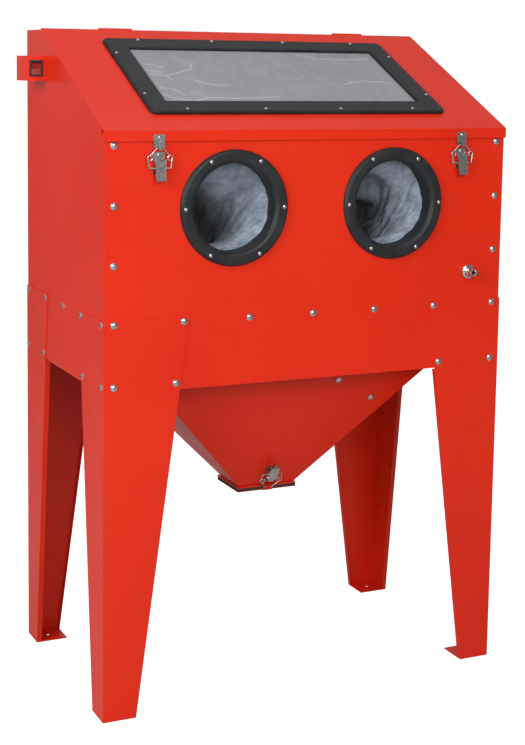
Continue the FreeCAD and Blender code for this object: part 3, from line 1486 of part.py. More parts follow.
# ---------------------------------------------------------------- switch box on the left side
BOX_X = dim("switch_box_width")
BOX_Y = dim("switch_box_depth")
BOX_Z = dim("switch_box_height")
BOX_T = dim("switch_box_sheet")
BEZEL_X = dim("bezel_width")
BEZEL_Z = dim("bezel_height")
BEZEL_RIM = dim("bezel_rim")
box_low = (-HALF_W - BOX_X, SWITCH_Y - BOX_Y / 2, SWITCH_Z - BOX_Z / 2)
shell = block("switch_box_outside", box_low, (BOX_X, BOX_Y, BOX_Z))
hollow_low = (box_low[0] + BOX_T, box_low[1] + BOX_T, box_low[2] + BOX_T)
hollow = block("switch_box_inside", hollow_low, (BOX_X, BOX_Y - BOX_T * 2, BOX_Z - BOX_T * 2))
SWITCH_X = -HALF_W - BOX_X / 2
FACE_Y = SWITCH_Y - BOX_Y / 2
LAP = dim("bezel_lap")
cutout_low = (SWITCH_X - BEZEL_X / 2 + LAP, FACE_Y - 1, SWITCH_Z - BEZEL_Z / 2 + LAP)
cutout = block("bezel_cutout", cutout_low, (BEZEL_X - LAP * 2, BOX_T + 2, BEZEL_Z - LAP * 2))
inlet_y = SWITCH_Y + BOX_Y / 2
inlet_start = (SWITCH_X, inlet_y - BOX_T - 1, SWITCH_Z)
inlet_hole = rod("inlet_hole", inlet_start, "y", dim("inlet_radius") + dim("small_clearance"), BOX_T + 2)
keep(cut("switch_box", shell, [hollow, cutout, inlet_hole]), "switch_box")

bezel = new_body("switch_bezel")
rim_outline = rectangle(-BEZEL_X / 2, -BEZEL_Z / 2, BEZEL_X / 2, BEZEL_Z / 2)
add_plate(bezel, "XZ_Plane", rim_outline, -BEZEL_RIM, BEZEL_RIM)
core_x = BEZEL_X / 2 - dim("bezel_core_inset")
core_z = BEZEL_Z / 2 - dim("bezel_core_inset")
CORE_DEPTH = dim("bezel_core_depth")
add_plate(bezel, "XZ_Plane", rectangle(-core_x, -core_z, core_x, core_z), Size.of(0), CORE_DEPTH)
well_x = BEZEL_X / 2 - dim("bezel_wall")
well_z = BEZEL_Z / 2 - dim("bezel_wall")
well = new_sketch(bezel, "XZ_Plane", BEZEL_RIM + 1)
draw_polygon(well, rectangle(-well_x, -well_z, well_x, well_z))
well_cut = bezel.newObject("PartDesign::Pocket", "bezel_well")
well_cut.Profile = well
well_cut.Type = "Length"
bind(well_cut, "Length", BEZEL_RIM + CORE_DEPTH - 1)
bezel.Tip = well_cut
ROCKER_Y = dim("rocker_pivot_depth")
ROCKER_PIN = dim("rocker_pivot_radius")
cut_through(bezel, "YZ_Plane", circles=[(ROCKER_Y, Size.of(0), ROCKER_PIN + SNUG)])
keep(place(bezel, SWITCH_X, FACE_Y, SWITCH_Z), "switch_bezel")

rocker = new_body("switch_rocker")
reach = well_z - dim("rocker_end_gap")
rocker_outline = [
    (-7.0, reach),
    (-4.2, Size.of(0)),
    (-7.0, -reach),
    (-1.0, -reach),
    (7.0, -6.0),
    (9.0, Size.of(0)),
    (7.0, 6.0),
    (-1.0, reach),
]
rocker_half = well_x - dim("rocker_gap")
pin_half = well_x + dim("rocker_pin_reach")
add_plate(rocker, "YZ_Plane", rocker_outline, -rocker_half, rocker_half * 2)
add_disc(rocker, "YZ_Plane", (Size.of(0), Size.of(0)), ROCKER_PIN, -pin_half, pin_half * 2)
place(rocker, SWITCH_X, FACE_Y + ROCKER_Y, SWITCH_Z, axis=(1, 0, 0), angle=dim("rocker_angle"))
keep(rocker, "switch_rocker")

inlet = new_body("power_inlet")
INLET_R = dim("inlet_radius")
INLET_BORE = dim("inlet_bore")
inlet_outline = [
    (INLET_BORE, -8),
    (INLET_R, -8),
    (INLET_R, Size.of(0)),
    (INLET_R + 2.5, Size.of(0)),
    (INLET_R + 2.5, Size.of(2.5)),
    (INLET_BORE, Size.of(2.5)),
]
add_turned(inlet, "XZ_Plane", inlet_outline)
place(inlet, SWITCH_X, inlet_y, SWITCH_Z, axis=(1, 0, 0), angle=-90)
keep(inlet, "power_inlet")

# ---------------------------------------------------------------- air supply fitting
AIR_R = dim("air_thread_radius")
AIR_BORE = dim("air_bore_radius")
AIR_FLANGE = dim("air_flange_radius")
AIR_REACH = dim("air_nipple_reach")
AIR_COLLAR = dim("air_collar_radius")
fitting = new_body("air_bulkhead")
fitting_outline = [
    (AIR_BORE, -34),
    (AIR_R - 3, -34),
    (AIR_R - 1.8, -30),
    (AIR_R - 3, -29.5),
    (AIR_R - 1.8, -25),
    (AIR_R - 3, -24.5),
    (AIR_R - 3, -20),
    (AIR_R, -20),
    (AIR_R, Size.of(0)),
    (AIR_FLANGE, Size.of(0)),
    (AIR_FLANGE, Size.of(5)),
    (AIR_FLANGE - 3, Size.of(6.5)),
    (AIR_COLLAR, Size.of(6.5)),
    (AIR_COLLAR, Size.of(9)),
    (AIR_BORE, Size.of(9)),
]
add_turned(fitting, "XZ_Plane", fitting_outline)
air_spot = (dim("air_fitting_x"), -HALF_D, dim("air_fitting_height"))
keep(place(fitting, *air_spot, axis=(1, 0, 0), angle=90), "air_bulkhead")
nipple = new_body("air_nipple")
nipple_outline = [
    (AIR_BORE, Size.of(9)),
    (Size.of(8), Size.of(9)),
    (Size.of(8), Size.of(12)),
    (Size.of(6.2), Size.of(13)),
    (Size.of(6.2), Size.of(15)),
    (Size.of(9.6), Size.of(16.5)),
    (Size.of(9.8), AIR_REACH - 3),
    (Size.of(8.6), AIR_REACH),
    (AIR_BORE + 2, AIR_REACH),
    (AIR_BORE, AIR_REACH - 4),
]
add_turned(nipple, "XZ_Plane", nipple_outline)
keep(place(nipple, *air_spot, axis=(1, 0, 0), angle=90), "air_nipple")
nut_height = num(dim("air_nut_height"))
air_nut = hex_nut(num(dim("air_nut_across")), nut_height, num(AIR_R + SNUG))
nut_y = -num(IN_D) + nut_height
set_shape("air_lock_nut", aimed(air_nut, num(air_spot[0]), nut_y, num(air_spot[2]), (0, -1, 0)))

# ---------------------------------------------------------------- inside the chamber
GRATE_Z = dim("grate_height")
GRATE_T = num(dim("grate_thickness"))
grate_x = num(IN_W) - num(dim("grate_clearance"))
grate_y = num(IN_D) - num(T) - num(dim("grate_clearance"))
BORDER_STRIP = num(dim("grate_border"))
SLOT_PITCH_X = num(dim("grate_slot_pitch_x"))
SLOT_PITCH_Y = num(dim("grate_slot_pitch_y"))
slot_columns = int((grate_x - BORDER_STRIP) * 2 // SLOT_PITCH_X)
slot_rows = int((grate_y - BORDER_STRIP) * 2 // SLOT_PITCH_Y)


def grate_rectangle(x0, y0, x1, y1):
    points = [(x0, y0), (x1, y0), (x1, y1), (x0, y1), (x0, y0)]
    return Part.makePolygon([FreeCAD.Vector(px, py, num(GRATE_Z)) for px, py in points])


grate_wires = [grate_rectangle(-grate_x, -grate_y, grate_x, grate_y)]
for column in range(slot_columns):
    x0 = (column - (slot_columns - 1) / 2) * SLOT_PITCH_X
    for row in range(slot_rows):
        y0 = (row - (slot_rows - 1) / 2) * SLOT_PITCH_Y
        half_x = (SLOT_PITCH_X - num(dim("grate_bar_x"))) / 2
        half_y = (SLOT_PITCH_Y - num(dim("grate_bar_y"))) / 2
        grate_wires.append(grate_rectangle(x0 - half_x, y0 - half_y, x0 + half_x, y0 + half_y))
grate_face = Part.Face(grate_wires, "Part::FaceMakerCheese")
set_shape("work_grate", grate_face.extrude(FreeCAD.Vector(0, 0, GRATE_T)))

rails = []
rail_top = BEND + dim("hopper_flange")
rail_half = IN_W - dim("rail_end_gap")
for end in (-1, 1):
    rail = new_body(f"grate_rail_{end}")
    outer = end * (IN_D - WALL_Y - dim("rail_clearance"))
    inner = outer - end * dim("rail_width")
    add_plate(rail, "YZ_Plane", rectangle(outer, rail_top, inner, rail_top + T), -rail_half, rail_half * 2)
    wall = rectangle(inner, rail_top, inner + end * T, GRATE_Z)
    add_plate(rail, "YZ_Plane", wall, -rail_half, rail_half * 2)
    rails.append(rail)
group("grate_rails", rails)

LAMP_Y = (SLOPE_BACK + HALF_D) / 2 + 4
LAMP_Z = TOP - T - dim("lamp_height")
lamp_low = (-dim("lamp_length") / 2, LAMP_Y - dim("lamp_width") / 2, LAMP_Z)
lamp_shell = block("lamp_outside", lamp_low, (dim("lamp_length"), dim("lamp_width"), dim("lamp_height")))
lamp_inner_low = (lamp_low[0] + T, lamp_low[1] + T, LAMP_Z - 1)
lamp_inner = block(
    "lamp_inside",
    lamp_inner_low,
    (dim("lamp_length") - T * 2, dim("lamp_width") - T * 2, dim("lamp_height") + 1 - T),
)
keep(cut("lamp_housing", lamp_shell, [lamp_inner]), "lamp_housing")
TUBE_R = dim("tube_radius")
tube_start = (lamp_low[0] + T, LAMP_Y, LAMP_Z + TUBE_R + 1)
keep(rod("lamp_tube", tube_start, "x", TUBE_R, dim("lamp_length") - T * 2), "lamp_tube")

# The blast gun lies on its side on the grate: its barrel points left and its grip points back.
GUN_X = num(dim("gun_x"))
GUN_Y = num(IN_D - dim("gun_from_back"))
BARREL_R = num(dim("gun_barrel_radius"))
BARREL_LENGTH = num(dim("gun_barrel_length"))
NOZZLE_R = num(dim("gun_nozzle_seat"))
PIVOT_PIN = num(dim("gun_pivot_radius"))
gun_z = num(GRATE_Z) + GRATE_T + BARREL_R
GUN_AXIS = FreeCAD.Vector(-1, 0, 0)
GRIP_AXIS = FreeCAD.Vector(0, 1, 0)
BARREL_BACK = GUN_X + 40
GRIP_BACK = GUN_Y + 4 + num(dim("gun_grip_length"))
BARB_R = 7.0


def gun_cylinder(radius, length, x0, y0, axis=GUN_AXIS):
    return Part.makeCylinder(radius, length, FreeCAD.Vector(x0, y0, gun_z), axis)


def gun_block(size_x, size_y, size_z, x0, y0):
    """A block of the gun that is centred on the barrel's height."""
    return Part.makeBox(size_x, size_y, size_z, FreeCAD.Vector(x0, y0, gun_z - size_z / 2))


def gun_pin(radius, length):
    """A pin or its hole on the trigger's axis, centred on the barrel's height."""
    foot = FreeCAD.Vector(TRIGGER_X, TRIGGER_Y, gun_z - length / 2)
    return Part.makeCylinder(radius, length, foot, FreeCAD.Vector(0, 0, 1))


TRIGGER_X = GUN_X - 8
TRIGGER_Y = GUN_Y + 23
gun = gun_cylinder(BARREL_R, BARREL_LENGTH, BARREL_BACK, GUN_Y)
gun = gun.fuse(gun_block(30, num(dim("gun_grip_length")), 28, GUN_X + 6, GUN_Y + 4))
gun = gun.fuse(gun_block(22, 16, 20, GUN_X - 14, GUN_Y + 12))
gun = gun.cut(gun_block(16.5, 18, 11, GUN_X - 15, GUN_Y + 17.2))
gun = gun.fuse(gun_cylinder(BARB_R, 16, BARREL_BACK + 16, GUN_Y))
gun = gun.fuse(gun_cylinder(BARB_R, 18, GUN_X + 21, GRIP_BACK - 2, GRIP_AXIS))
gun = gun.cut(gun_pin(PIVOT_PIN + num(SNUG), 40))
SEAT_X = BARREL_BACK - BARREL_LENGTH + 14
gun = gun.cut(gun_cylinder(NOZZLE_R, 14, SEAT_X, GUN_Y))
set_shape("gun_body", gun.removeSplitter())

nozzle = gun_cylinder(NOZZLE_R, 14, SEAT_X, GUN_Y)
nozzle_tip = FreeCAD.Vector(SEAT_X - 14, GUN_Y, gun_z)
nozzle = nozzle.fuse(Part.makeCone(NOZZLE_R + 2, NOZZLE_R - 1, 26, nozzle_tip, GUN_AXIS))
nozzle = nozzle.cut(gun_cylinder(num(dim("gun_nozzle_bore")), 60, SEAT_X + 5, GUN_Y))
set_shape("gun_nozzle", nozzle)

trigger = gun_block(5, num(dim("gun_trigger_length")), 10, TRIGGER_X - 6, TRIGGER_Y - 3)
trigger = trigger.fuse(gun_pin(4.5, 10))
trigger = trigger.fuse(gun_pin(PIVOT_PIN, 19))
set_shape("gun_trigger", trigger.removeSplitter())

# ---------------------------------------------------------------- dust extraction outlet
outlet = new_body("dust_outlet")
dust_in = DUST_R - dim("dust_outlet_wall")
dust_outline = [
    (dust_in, Size.of(0)),
    (dim("dust_flange_radius"), Size.of(0)),
    (dim("dust_flange_radius"), T),
    (DUST_R, T),
    (DUST_R, dim("dust_outlet_length")),
    (dust_in, dim("dust_outlet_length")),
]
add_turned(outlet, "XZ_Plane", dust_outline)
keep(place(outlet, DUST_X, HALF_D, DUST_Z, axis=(1, 0, 0), angle=-90), "dust_outlet")

# ---------------------------------------------------------------- check and write
doc.recompute()
for thing in doc.Objects:
    if "Invalid" in thing.State or "Error" in thing.State:
        raise RuntimeError(f"{thing.Label} failed: {thing.State}")
for piece in SUBPARTS:
    if piece.Shape.isNull() or not piece.Shape.isValid():
        raise RuntimeError(f"{piece.Label} has no valid shape")
os.makedirs("parts", exist_ok=True)
for piece in SUBPARTS:
    piece.Shape.exportStep(os.path.join("parts", f"{piece.Label}.step"))
print(len(SUBPARTS), "sub-parts written")
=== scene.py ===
import math
import bmesh
import bpy
from mathutils import Euler, Matrix, Vector, noise


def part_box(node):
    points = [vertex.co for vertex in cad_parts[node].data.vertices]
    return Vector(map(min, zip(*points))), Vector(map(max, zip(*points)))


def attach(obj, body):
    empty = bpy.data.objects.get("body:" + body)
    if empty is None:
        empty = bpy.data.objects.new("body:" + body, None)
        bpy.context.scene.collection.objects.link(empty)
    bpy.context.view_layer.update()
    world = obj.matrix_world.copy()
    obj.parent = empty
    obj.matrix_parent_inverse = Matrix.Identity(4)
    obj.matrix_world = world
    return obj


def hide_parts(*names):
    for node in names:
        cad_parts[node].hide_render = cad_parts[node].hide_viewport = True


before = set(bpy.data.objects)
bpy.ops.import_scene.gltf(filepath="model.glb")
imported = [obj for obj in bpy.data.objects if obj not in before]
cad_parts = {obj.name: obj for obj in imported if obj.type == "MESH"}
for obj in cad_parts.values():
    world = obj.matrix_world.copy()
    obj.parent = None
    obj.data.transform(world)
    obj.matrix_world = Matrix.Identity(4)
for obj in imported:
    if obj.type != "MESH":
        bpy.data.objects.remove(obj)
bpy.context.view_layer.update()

# ---------------------------------------------------------------- studio
# A pale floor under a soft white sky, with a big soft lamp high on each side of the camera and
# one overhead. The camera stands a little to the left of the cabinet, at chest height.
EYE = Vector((-1.461, -3.083, 1.376))
TURN = -24.45
LOOK_DOWN = 7.1
ROLL = 0.76

camera_data = bpy.data.cameras.new("camera")
camera_data.lens = 71.9
camera_data.shift_x = 0.034
camera_data.shift_y = -0.167
camera = bpy.data.objects.new("camera", camera_data)
bpy.context.collection.objects.link(camera)
pan = Matrix.Rotation(math.radians(TURN), 4, "Z")
tilt = Matrix.Rotation(math.radians(90 - LOOK_DOWN), 4, "X")
lean = Matrix.Rotation(math.radians(ROLL), 4, "Z")
camera.matrix_world = Matrix.Translation(EYE) @ pan @ tilt @ lean
bpy.context.scene.camera = camera


def hang_softbox(name, spot, aim, width, watts):
    lamp = bpy.data.lights.new(name, "AREA")
    lamp.shape = "RECTANGLE"
    lamp.size = width
    lamp.size_y = width * 0.8
    lamp.energy = watts
    holder = bpy.data.objects.new(name, lamp)
    bpy.context.collection.objects.link(holder)
    holder.location = spot
    holder.rotation_euler = (Vector(aim) - Vector(spot)).to_track_quat("-Z", "Y").to_euler()


hang_softbox("left_softbox", (-3.2, -1.6, 2.2), (-0.3, 0, 0.9), 2.2, 105)
hang_softbox("front_softbox", (-0.6, -4.4, 2.5), (0, 0, 0.9), 2.4, 128)
hang_softbox("top_softbox", (0.2, -0.3, 3.8), (0, 0, 0.6), 3.0, 20)



def only_to_camera(tree, seen, felt, socket):
    """Give a socket one value as the camera sees it and another as the light it casts."""
    chooser = tree.nodes.new("ShaderNodeMapRange")
    chooser.inputs["To Max"].default_value = seen
    path = tree.nodes.new("ShaderNodeLightPath")
    tree.links.new(path.outputs["Is Camera Ray"], chooser.inputs["Value"])
    if isinstance(felt, float):
        chooser.inputs["To Min"].default_value = felt
    else:
        tree.links.new(felt, chooser.inputs["To Min"])
    tree.links.new(chooser.outputs["Result"], socket)


sky = bpy.data.worlds.new("studio_sky")
sky.use_nodes = True
sky_tree = sky.node_tree
backdrop = sky_tree.nodes["Background"]
backdrop.inputs["Color"].default_value = (1.0, 1.0, 1.0, 1.0)
compass = sky_tree.nodes.new("ShaderNodeTexCoord")
heading = sky_tree.nodes.new("ShaderNodeSeparateXYZ")
sky_tree.links.new(compass.outputs["Generated"], heading.inputs["Vector"])
dim_front = sky_tree.nodes.new("ShaderNodeMapRange")
dim_front.interpolation_type = "SMOOTHSTEP"
dim_front.inputs["From Min"].default_value = -0.5
dim_front.inputs["From Max"].default_value = 0.15
dim_front.inputs["To Min"].default_value = 0.20
dim_front.inputs["To Max"].default_value = 0.42
sky_tree.links.new(heading.outputs["Y"], dim_front.inputs["Value"])
only_to_camera(sky_tree, 1.02, dim_front.outputs["Result"], backdrop.inputs["Strength"])
bpy.context.scene.world = sky
bpy.context.scene.view_settings.view_transform = "Standard"

floor_shape = bmesh.new()
bmesh.ops.create_grid(floor_shape, x_segments=1, y_segments=1, size=60)
floor_mesh = bpy.data.meshes.new("studio_floor")
floor_shape.to_mesh(floor_mesh)
floor_shape.free()
studio_floor = bpy.data.objects.new("studio_floor", floor_mesh)
bpy.context.collection.objects.link(studio_floor)
floor_paper = bpy.data.materials.new("floor_paper")
floor_paper.use_nodes = True
paper = floor_paper.node_tree.nodes["Principled BSDF"]
paper.inputs["Base Color"].default_value = (0.45, 0.45, 0.45, 1.0)
only_to_camera(floor_paper.node_tree, 0.95, 0.05, paper.inputs["Emission Strength"])
paper.inputs["Roughness"].default_value = 0.9
paper.inputs["Specular IOR Level"].default_value = 0.0
paper.inputs["Emission Color"].default_value = (1.0, 1.0, 1.0, 1.0)
floor_mesh.materials.append(floor_paper)


# ---------------------------------------------------------------- sheet steel case, legs and hopper
# Folded sheet steel, powder coated in a glossy red before it is screwed together. The coat has a
# fine orange-peel texture, and it is a touch thinner and darker where it pooled less.
COAT_RED = (0.66, 0.024, 0.005)
COAT_RED_DEEP = (0.60, 0.018, 0.004)
COATED_PARTS = [
    "left_side_panel",
    "right_side_panel",
    "front_panel",
    "back_panel",
    "top_panel",
    "hopper_front",
    "hopper_back",
    "hopper_left",
    "hopper_right",
    "outlet_rim",
    "leg_front_left",
    "leg_front_right",
    "leg_back_left",
    "leg_back_right",
    "lid_panel",
    "switch_box",
    "cleanout_door",
    "grate_rails",
    "hinge_fixed_leaves",
    "lid_hinge_leaves",
    "door_hinge_leaf",
]


def new_finish(name):
    finish = bpy.data.materials.new(name)
    finish.use_nodes = True
    tree = finish.node_tree
    place = tree.nodes.new("ShaderNodeTexCoord").outputs["Object"]
    return finish, tree, tree.nodes["Principled BSDF"], place


def speckle(tree, place, scale, detail=3.0, distortion=0.0):
    grain = tree.nodes.new("ShaderNodeTexNoise")
    grain.inputs["Scale"].default_value = scale
    grain.inputs["Detail"].default_value = detail
    grain.inputs["Distortion"].default_value = distortion
    tree.links.new(place, grain.inputs["Vector"])
    return grain.outputs["Fac"]


def spread(tree, amount, low, high, start=0.3, stop=0.7):
    """Turn an amount from start to stop into a number from low to high."""
    spreader = tree.nodes.new("ShaderNodeMapRange")
    spreader.inputs["From Min"].default_value = start
    spreader.inputs["From Max"].default_value = stop
    spreader.inputs["To Min"].default_value = low
    spreader.inputs["To Max"].default_value = high
    tree.links.new(amount, spreader.inputs["Value"])
    return spreader.outputs["Result"]


def blend_colours(tree, amount, first, second):
    mixer = tree.nodes.new("ShaderNodeMix")
    mixer.data_type = "RGBA"
    tree.links.new(amount, mixer.inputs["Factor"])
    for socket, colour in ((mixer.inputs["A"], first), (mixer.inputs["B"], second)):
        if isinstance(colour, tuple):
            socket.default_value = (*colour, 1.0)
        else:
            tree.links.new(colour, socket)
    return mixer.outputs["Result"]


def relief(tree, height, depth, shader, strength=0.5):
    """Raise and sink the surface by a pattern, depth in metres."""
    bump = tree.nodes.new("ShaderNodeBump")
    bump.inputs["Strength"].default_value = strength
    bump.inputs["Distance"].default_value = depth
    tree.links.new(height, bump.inputs["Height"])
    tree.links.new(bump.outputs["Normal"], shader.inputs["Normal"])
    return bump


def red_powder_coat():
    finish, tree, shader, place = new_finish("red_powder_coat")
    drift = spread(tree, speckle(tree, place, 2.5), 0.0, 1.0)
    colour = blend_colours(tree, drift, COAT_RED, COAT_RED_DEEP)
    tree.links.new(colour, shader.inputs["Base Color"])
    tree.links.new(spread(tree, speckle(tree, place, 9.0), 0.27, 0.36), shader.inputs["Roughness"])
    shader.inputs["Specular IOR Level"].default_value = 0.22
    relief(tree, speckle(tree, place, 620.0, 2.0), 0.0002, shader, 0.12)
    return finish


def dress(parts, finish):
    for part in parts:
        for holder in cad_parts[part].material_slots:
            holder.material = finish


RED_COAT = red_powder_coat()
dress(COATED_PARTS, RED_COAT)

# ---------------------------------------------------------------- screws, nuts, hinges and latches
# Steel, zinc plated and bright: dome-head screws with a cross recess, hinge pins, and stamped
# toggle latches with a spring-wire loop. Plating is slightly cloudy from handling.
ZINC = (0.66, 0.66, 0.67)
ZINC_CLOUDY = (0.42, 0.42, 0.43)
PLATED_PARTS = [
    "panel_screws",
    "panel_nuts",
    "glove_ring_screws",
    "window_screws",
    "air_lock_nut",
    "keeper_rivets",
    "latch_bases",
    "latch_rivets",
    "latch_keepers",
    "left_latch_lever",
    "right_latch_lever",
    "door_latch_lever",
    "left_latch_loop",
    "right_latch_loop",
    "door_latch_loop",
    "hinge_pins",
]


def bright_plate(name, clean, cloudy, smooth, worn):
    finish, tree, shader, place = new_finish(name)
    haze = spread(tree, speckle(tree, place, 160.0, 4.0), 0.0, 1.0)
    tree.links.new(blend_colours(tree, haze, clean, cloudy), shader.inputs["Base Color"])
    tree.links.new(spread(tree, haze, smooth, worn, 0.0, 1.0), shader.inputs["Roughness"])
    shader.inputs["Metallic"].default_value = 1.0
    relief(tree, speckle(tree, place, 1400.0, 2.0), 0.0001, shader, 0.15)
    return finish


dress(PLATED_PARTS, bright_plate("bright_zinc", ZINC, ZINC_CLOUDY, 0.16, 0.34))

# ---------------------------------------------------------------- air inlet
# A brass bulkhead fitting and quick-connect nipple, nickel plated, screwed through the front
# panel low on the right.
NICKEL = (0.74, 0.71, 0.66)
NICKEL_CLOUDY = (0.52, 0.50, 0.47)
dress(["air_bulkhead", "air_nipple"], bright_plate("nickel", NICKEL, NICKEL_CLOUDY, 0.14, 0.28))

# ---------------------------------------------------------------- black mouldings
# Glass-filled nylon rings, window frame and switch surround, moulded with a fine leathery grain
# that keeps them from shining.
BLACK = (0.008, 0.009, 0.010)
BLACK_RUBBED = (0.018, 0.019, 0.021)


def black_moulding():
    finish, tree, shader, place = new_finish("black_moulding")
    rubbed = spread(tree, speckle(tree, place, 22.0, 5.0), 0.0, 1.0)
    tree.links.new(blend_colours(tree, rubbed, BLACK, BLACK_RUBBED), shader.inputs["Base Color"])
    tree.links.new(spread(tree, rubbed, 0.42, 0.55, 0.0, 1.0), shader.inputs["Roughness"])
    shader.inputs["Specular IOR Level"].default_value = 0.3
    pores = tree.nodes.new("ShaderNodeTexVoronoi")
    pores.inputs["Scale"].default_value = 900.0
    tree.links.new(place, pores.inputs["Vector"])
    relief(tree, pores.outputs["Distance"], 0.0003, shader, 0.35)
    return finish


BLACK_PARTS = ["glove_ring_left", "glove_ring_right", "window_frame", "switch_bezel", "power_inlet"]
dress(BLACK_PARTS, black_moulding())

# ---------------------------------------------------------------- gaskets
# Black sponge rubber strip under the lid and a solid rubber pad on the clean-out door.
RUBBER = (0.010, 0.010, 0.010)
RUBBER_DUSTY = (0.035, 0.034, 0.032)


def sponge_rubber():
    finish, tree, shader, place = new_finish("sponge_rubber")
    dust = spread(tree, speckle(tree, place, 60.0, 6.0), 0.0, 1.0)
    tree.links.new(blend_colours(tree, dust, RUBBER, RUBBER_DUSTY), shader.inputs["Base Color"])
    tree.links.new(spread(tree, dust, 0.72, 0.9, 0.0, 1.0), shader.inputs["Roughness"])
    relief(tree, speckle(tree, place, 1100.0, 4.0), 0.0004, shader, 0.5)
    return finish


dress(["lid_seal", "door_gasket"], sponge_rubber())

# ---------------------------------------------------------------- switch rocker
# A glossy dark red rocker in the black surround.
ROCKER_RED = (0.16, 0.010, 0.008)
ROCKER_WORN = (0.24, 0.020, 0.014)


def rocker_plastic():
    finish, tree, shader, place = new_finish("rocker_plastic")
    wear = spread(tree, speckle(tree, place, 90.0, 3.0), 0.0, 1.0)
    tree.links.new(blend_colours(tree, wear, ROCKER_RED, ROCKER_WORN), shader.inputs["Base Color"])
    tree.links.new(spread(tree, wear, 0.18, 0.3, 0.0, 1.0), shader.inputs["Roughness"])
    relief(tree, speckle(tree, place, 800.0), 0.0001, shader, 0.2)
    return finish


dress(["switch_rocker"], rocker_plastic())

# ---------------------------------------------------------------- bare steel inside
# Galvanised grate, pick-up tube, its clip and the dust outlet, and the stainless clamp bands on
# the gloves. Zinc spangle shows as slow grey patches.
GALVANISED = (0.50, 0.51, 0.53)
GALVANISED_DARK = (0.36, 0.37, 0.39)


def galvanised_steel():
    finish, tree, shader, place = new_finish("galvanised_steel")
    spangle = tree.nodes.new("ShaderNodeTexVoronoi")
    spangle.inputs["Scale"].default_value = 85.0
    tree.links.new(place, spangle.inputs["Vector"])
    patch = spread(tree, spangle.outputs["Color"], 0.0, 1.0, 0.2, 0.8)
    steel = blend_colours(tree, patch, GALVANISED, GALVANISED_DARK)
    tree.links.new(steel, shader.inputs["Base Color"])
    tree.links.new(spread(tree, patch, 0.38, 0.52, 0.0, 1.0), shader.inputs["Roughness"])
    shader.inputs["Metallic"].default_value = 1.0
    relief(tree, speckle(tree, place, 500.0, 3.0), 0.0002, shader, 0.2)
    return finish


GALVANISED_PARTS = ["work_grate", "pickup_tube", "pickup_clip", "dust_outlet", "glove_clamps"]
dress(GALVANISED_PARTS, galvanised_steel())

# ---------------------------------------------------------------- blast gun
# A sand-cast aluminium body and trigger, left as cast, with a white ceramic nozzle.
CAST_METAL = (0.46, 0.47, 0.48)
CAST_METAL_DARK = (0.30, 0.31, 0.32)
CERAMIC = (0.82, 0.80, 0.74)
CERAMIC_DUSTY = (0.66, 0.64, 0.58)


def cast_aluminium():
    finish, tree, shader, place = new_finish("cast_aluminium")
    skin = spread(tree, speckle(tree, place, 220.0, 6.0), 0.0, 1.0)
    metal = blend_colours(tree, skin, CAST_METAL, CAST_METAL_DARK)
    tree.links.new(metal, shader.inputs["Base Color"])
    tree.links.new(spread(tree, skin, 0.45, 0.65, 0.0, 1.0), shader.inputs["Roughness"])
    shader.inputs["Metallic"].default_value = 1.0
    relief(tree, speckle(tree, place, 700.0, 5.0), 0.0004, shader, 0.5)
    return finish


def white_ceramic():
    finish, tree, shader, place = new_finish("white_ceramic")
    dust = spread(tree, speckle(tree, place, 130.0, 4.0), 0.0, 1.0)
    glaze = blend_colours(tree, dust, CERAMIC, CERAMIC_DUSTY)
    tree.links.new(glaze, shader.inputs["Base Color"])
    tree.links.new(spread(tree, dust, 0.25, 0.5, 0.0, 1.0), shader.inputs["Roughness"])
    return finish


dress(["gun_body", "gun_trigger"], cast_aluminium())
dress(["gun_nozzle"], white_ceramic())

# ---------------------------------------------------------------- lamp
# A white enamelled channel under the top panel with a frosted tube in it.
ENAMEL = (0.80, 0.80, 0.79)
ENAMEL_AGED = (0.70, 0.69, 0.66)


def white_enamel(name, gloss):
    finish, tree, shader, place = new_finish(name)
    aged = spread(tree, speckle(tree, place, 14.0, 4.0), 0.0, 1.0)
    paint = blend_colours(tree, aged, ENAMEL, ENAMEL_AGED)
    tree.links.new(paint, shader.inputs["Base Color"])
    tree.links.new(spread(tree, aged, gloss, gloss + 0.12, 0.0, 1.0), shader.inputs["Roughness"])
    relief(tree, speckle(tree, place, 600.0), 0.0001, shader, 0.1)
    return finish


dress(["lamp_housing"], white_enamel("white_enamel", 0.25))
dress(["lamp_tube"], white_enamel("frosted_tube", 0.5))

# ---------------------------------------------------------------- window
# A clear acrylic pane held under the black frame. Its outer face still carries the grey film it
# was shipped with, which has lifted into pale creases, most of them near the left end.
PANE_TINT = (0.80, 0.84, 0.86)
FILM_GREY = (0.26, 0.265, 0.28)
FILM_CREASE = (0.40, 0.41, 0.43)
FILM_HAZE = (0.21, 0.215, 0.23)
FILM_CLEAR_OF_PANE = 0.0002
CREASE_HEIGHT = 0.0005
CREASE_WIDTH = 0.0016


def clear_acrylic():
    finish, tree, shader, place = new_finish("clear_acrylic")
    wipe = spread(tree, speckle(tree, place, 12.0, 5.0), 0.03, 0.12)
    tree.links.new(wipe, shader.inputs["Roughness"])
    shader.inputs["Base Color"].default_value = (*PANE_TINT, 1.0)
    shader.inputs["Transmission Weight"].default_value = 1.0
    shader.inputs["IOR"].default_value = 1.49
    return finish


dress(["window_glass"], clear_acrylic())

FILM_SLOPE = 25.92
FILM_REACH = Vector((0.3045, 0.1255))
PANE_HALF_THICKNESS = 0.0015
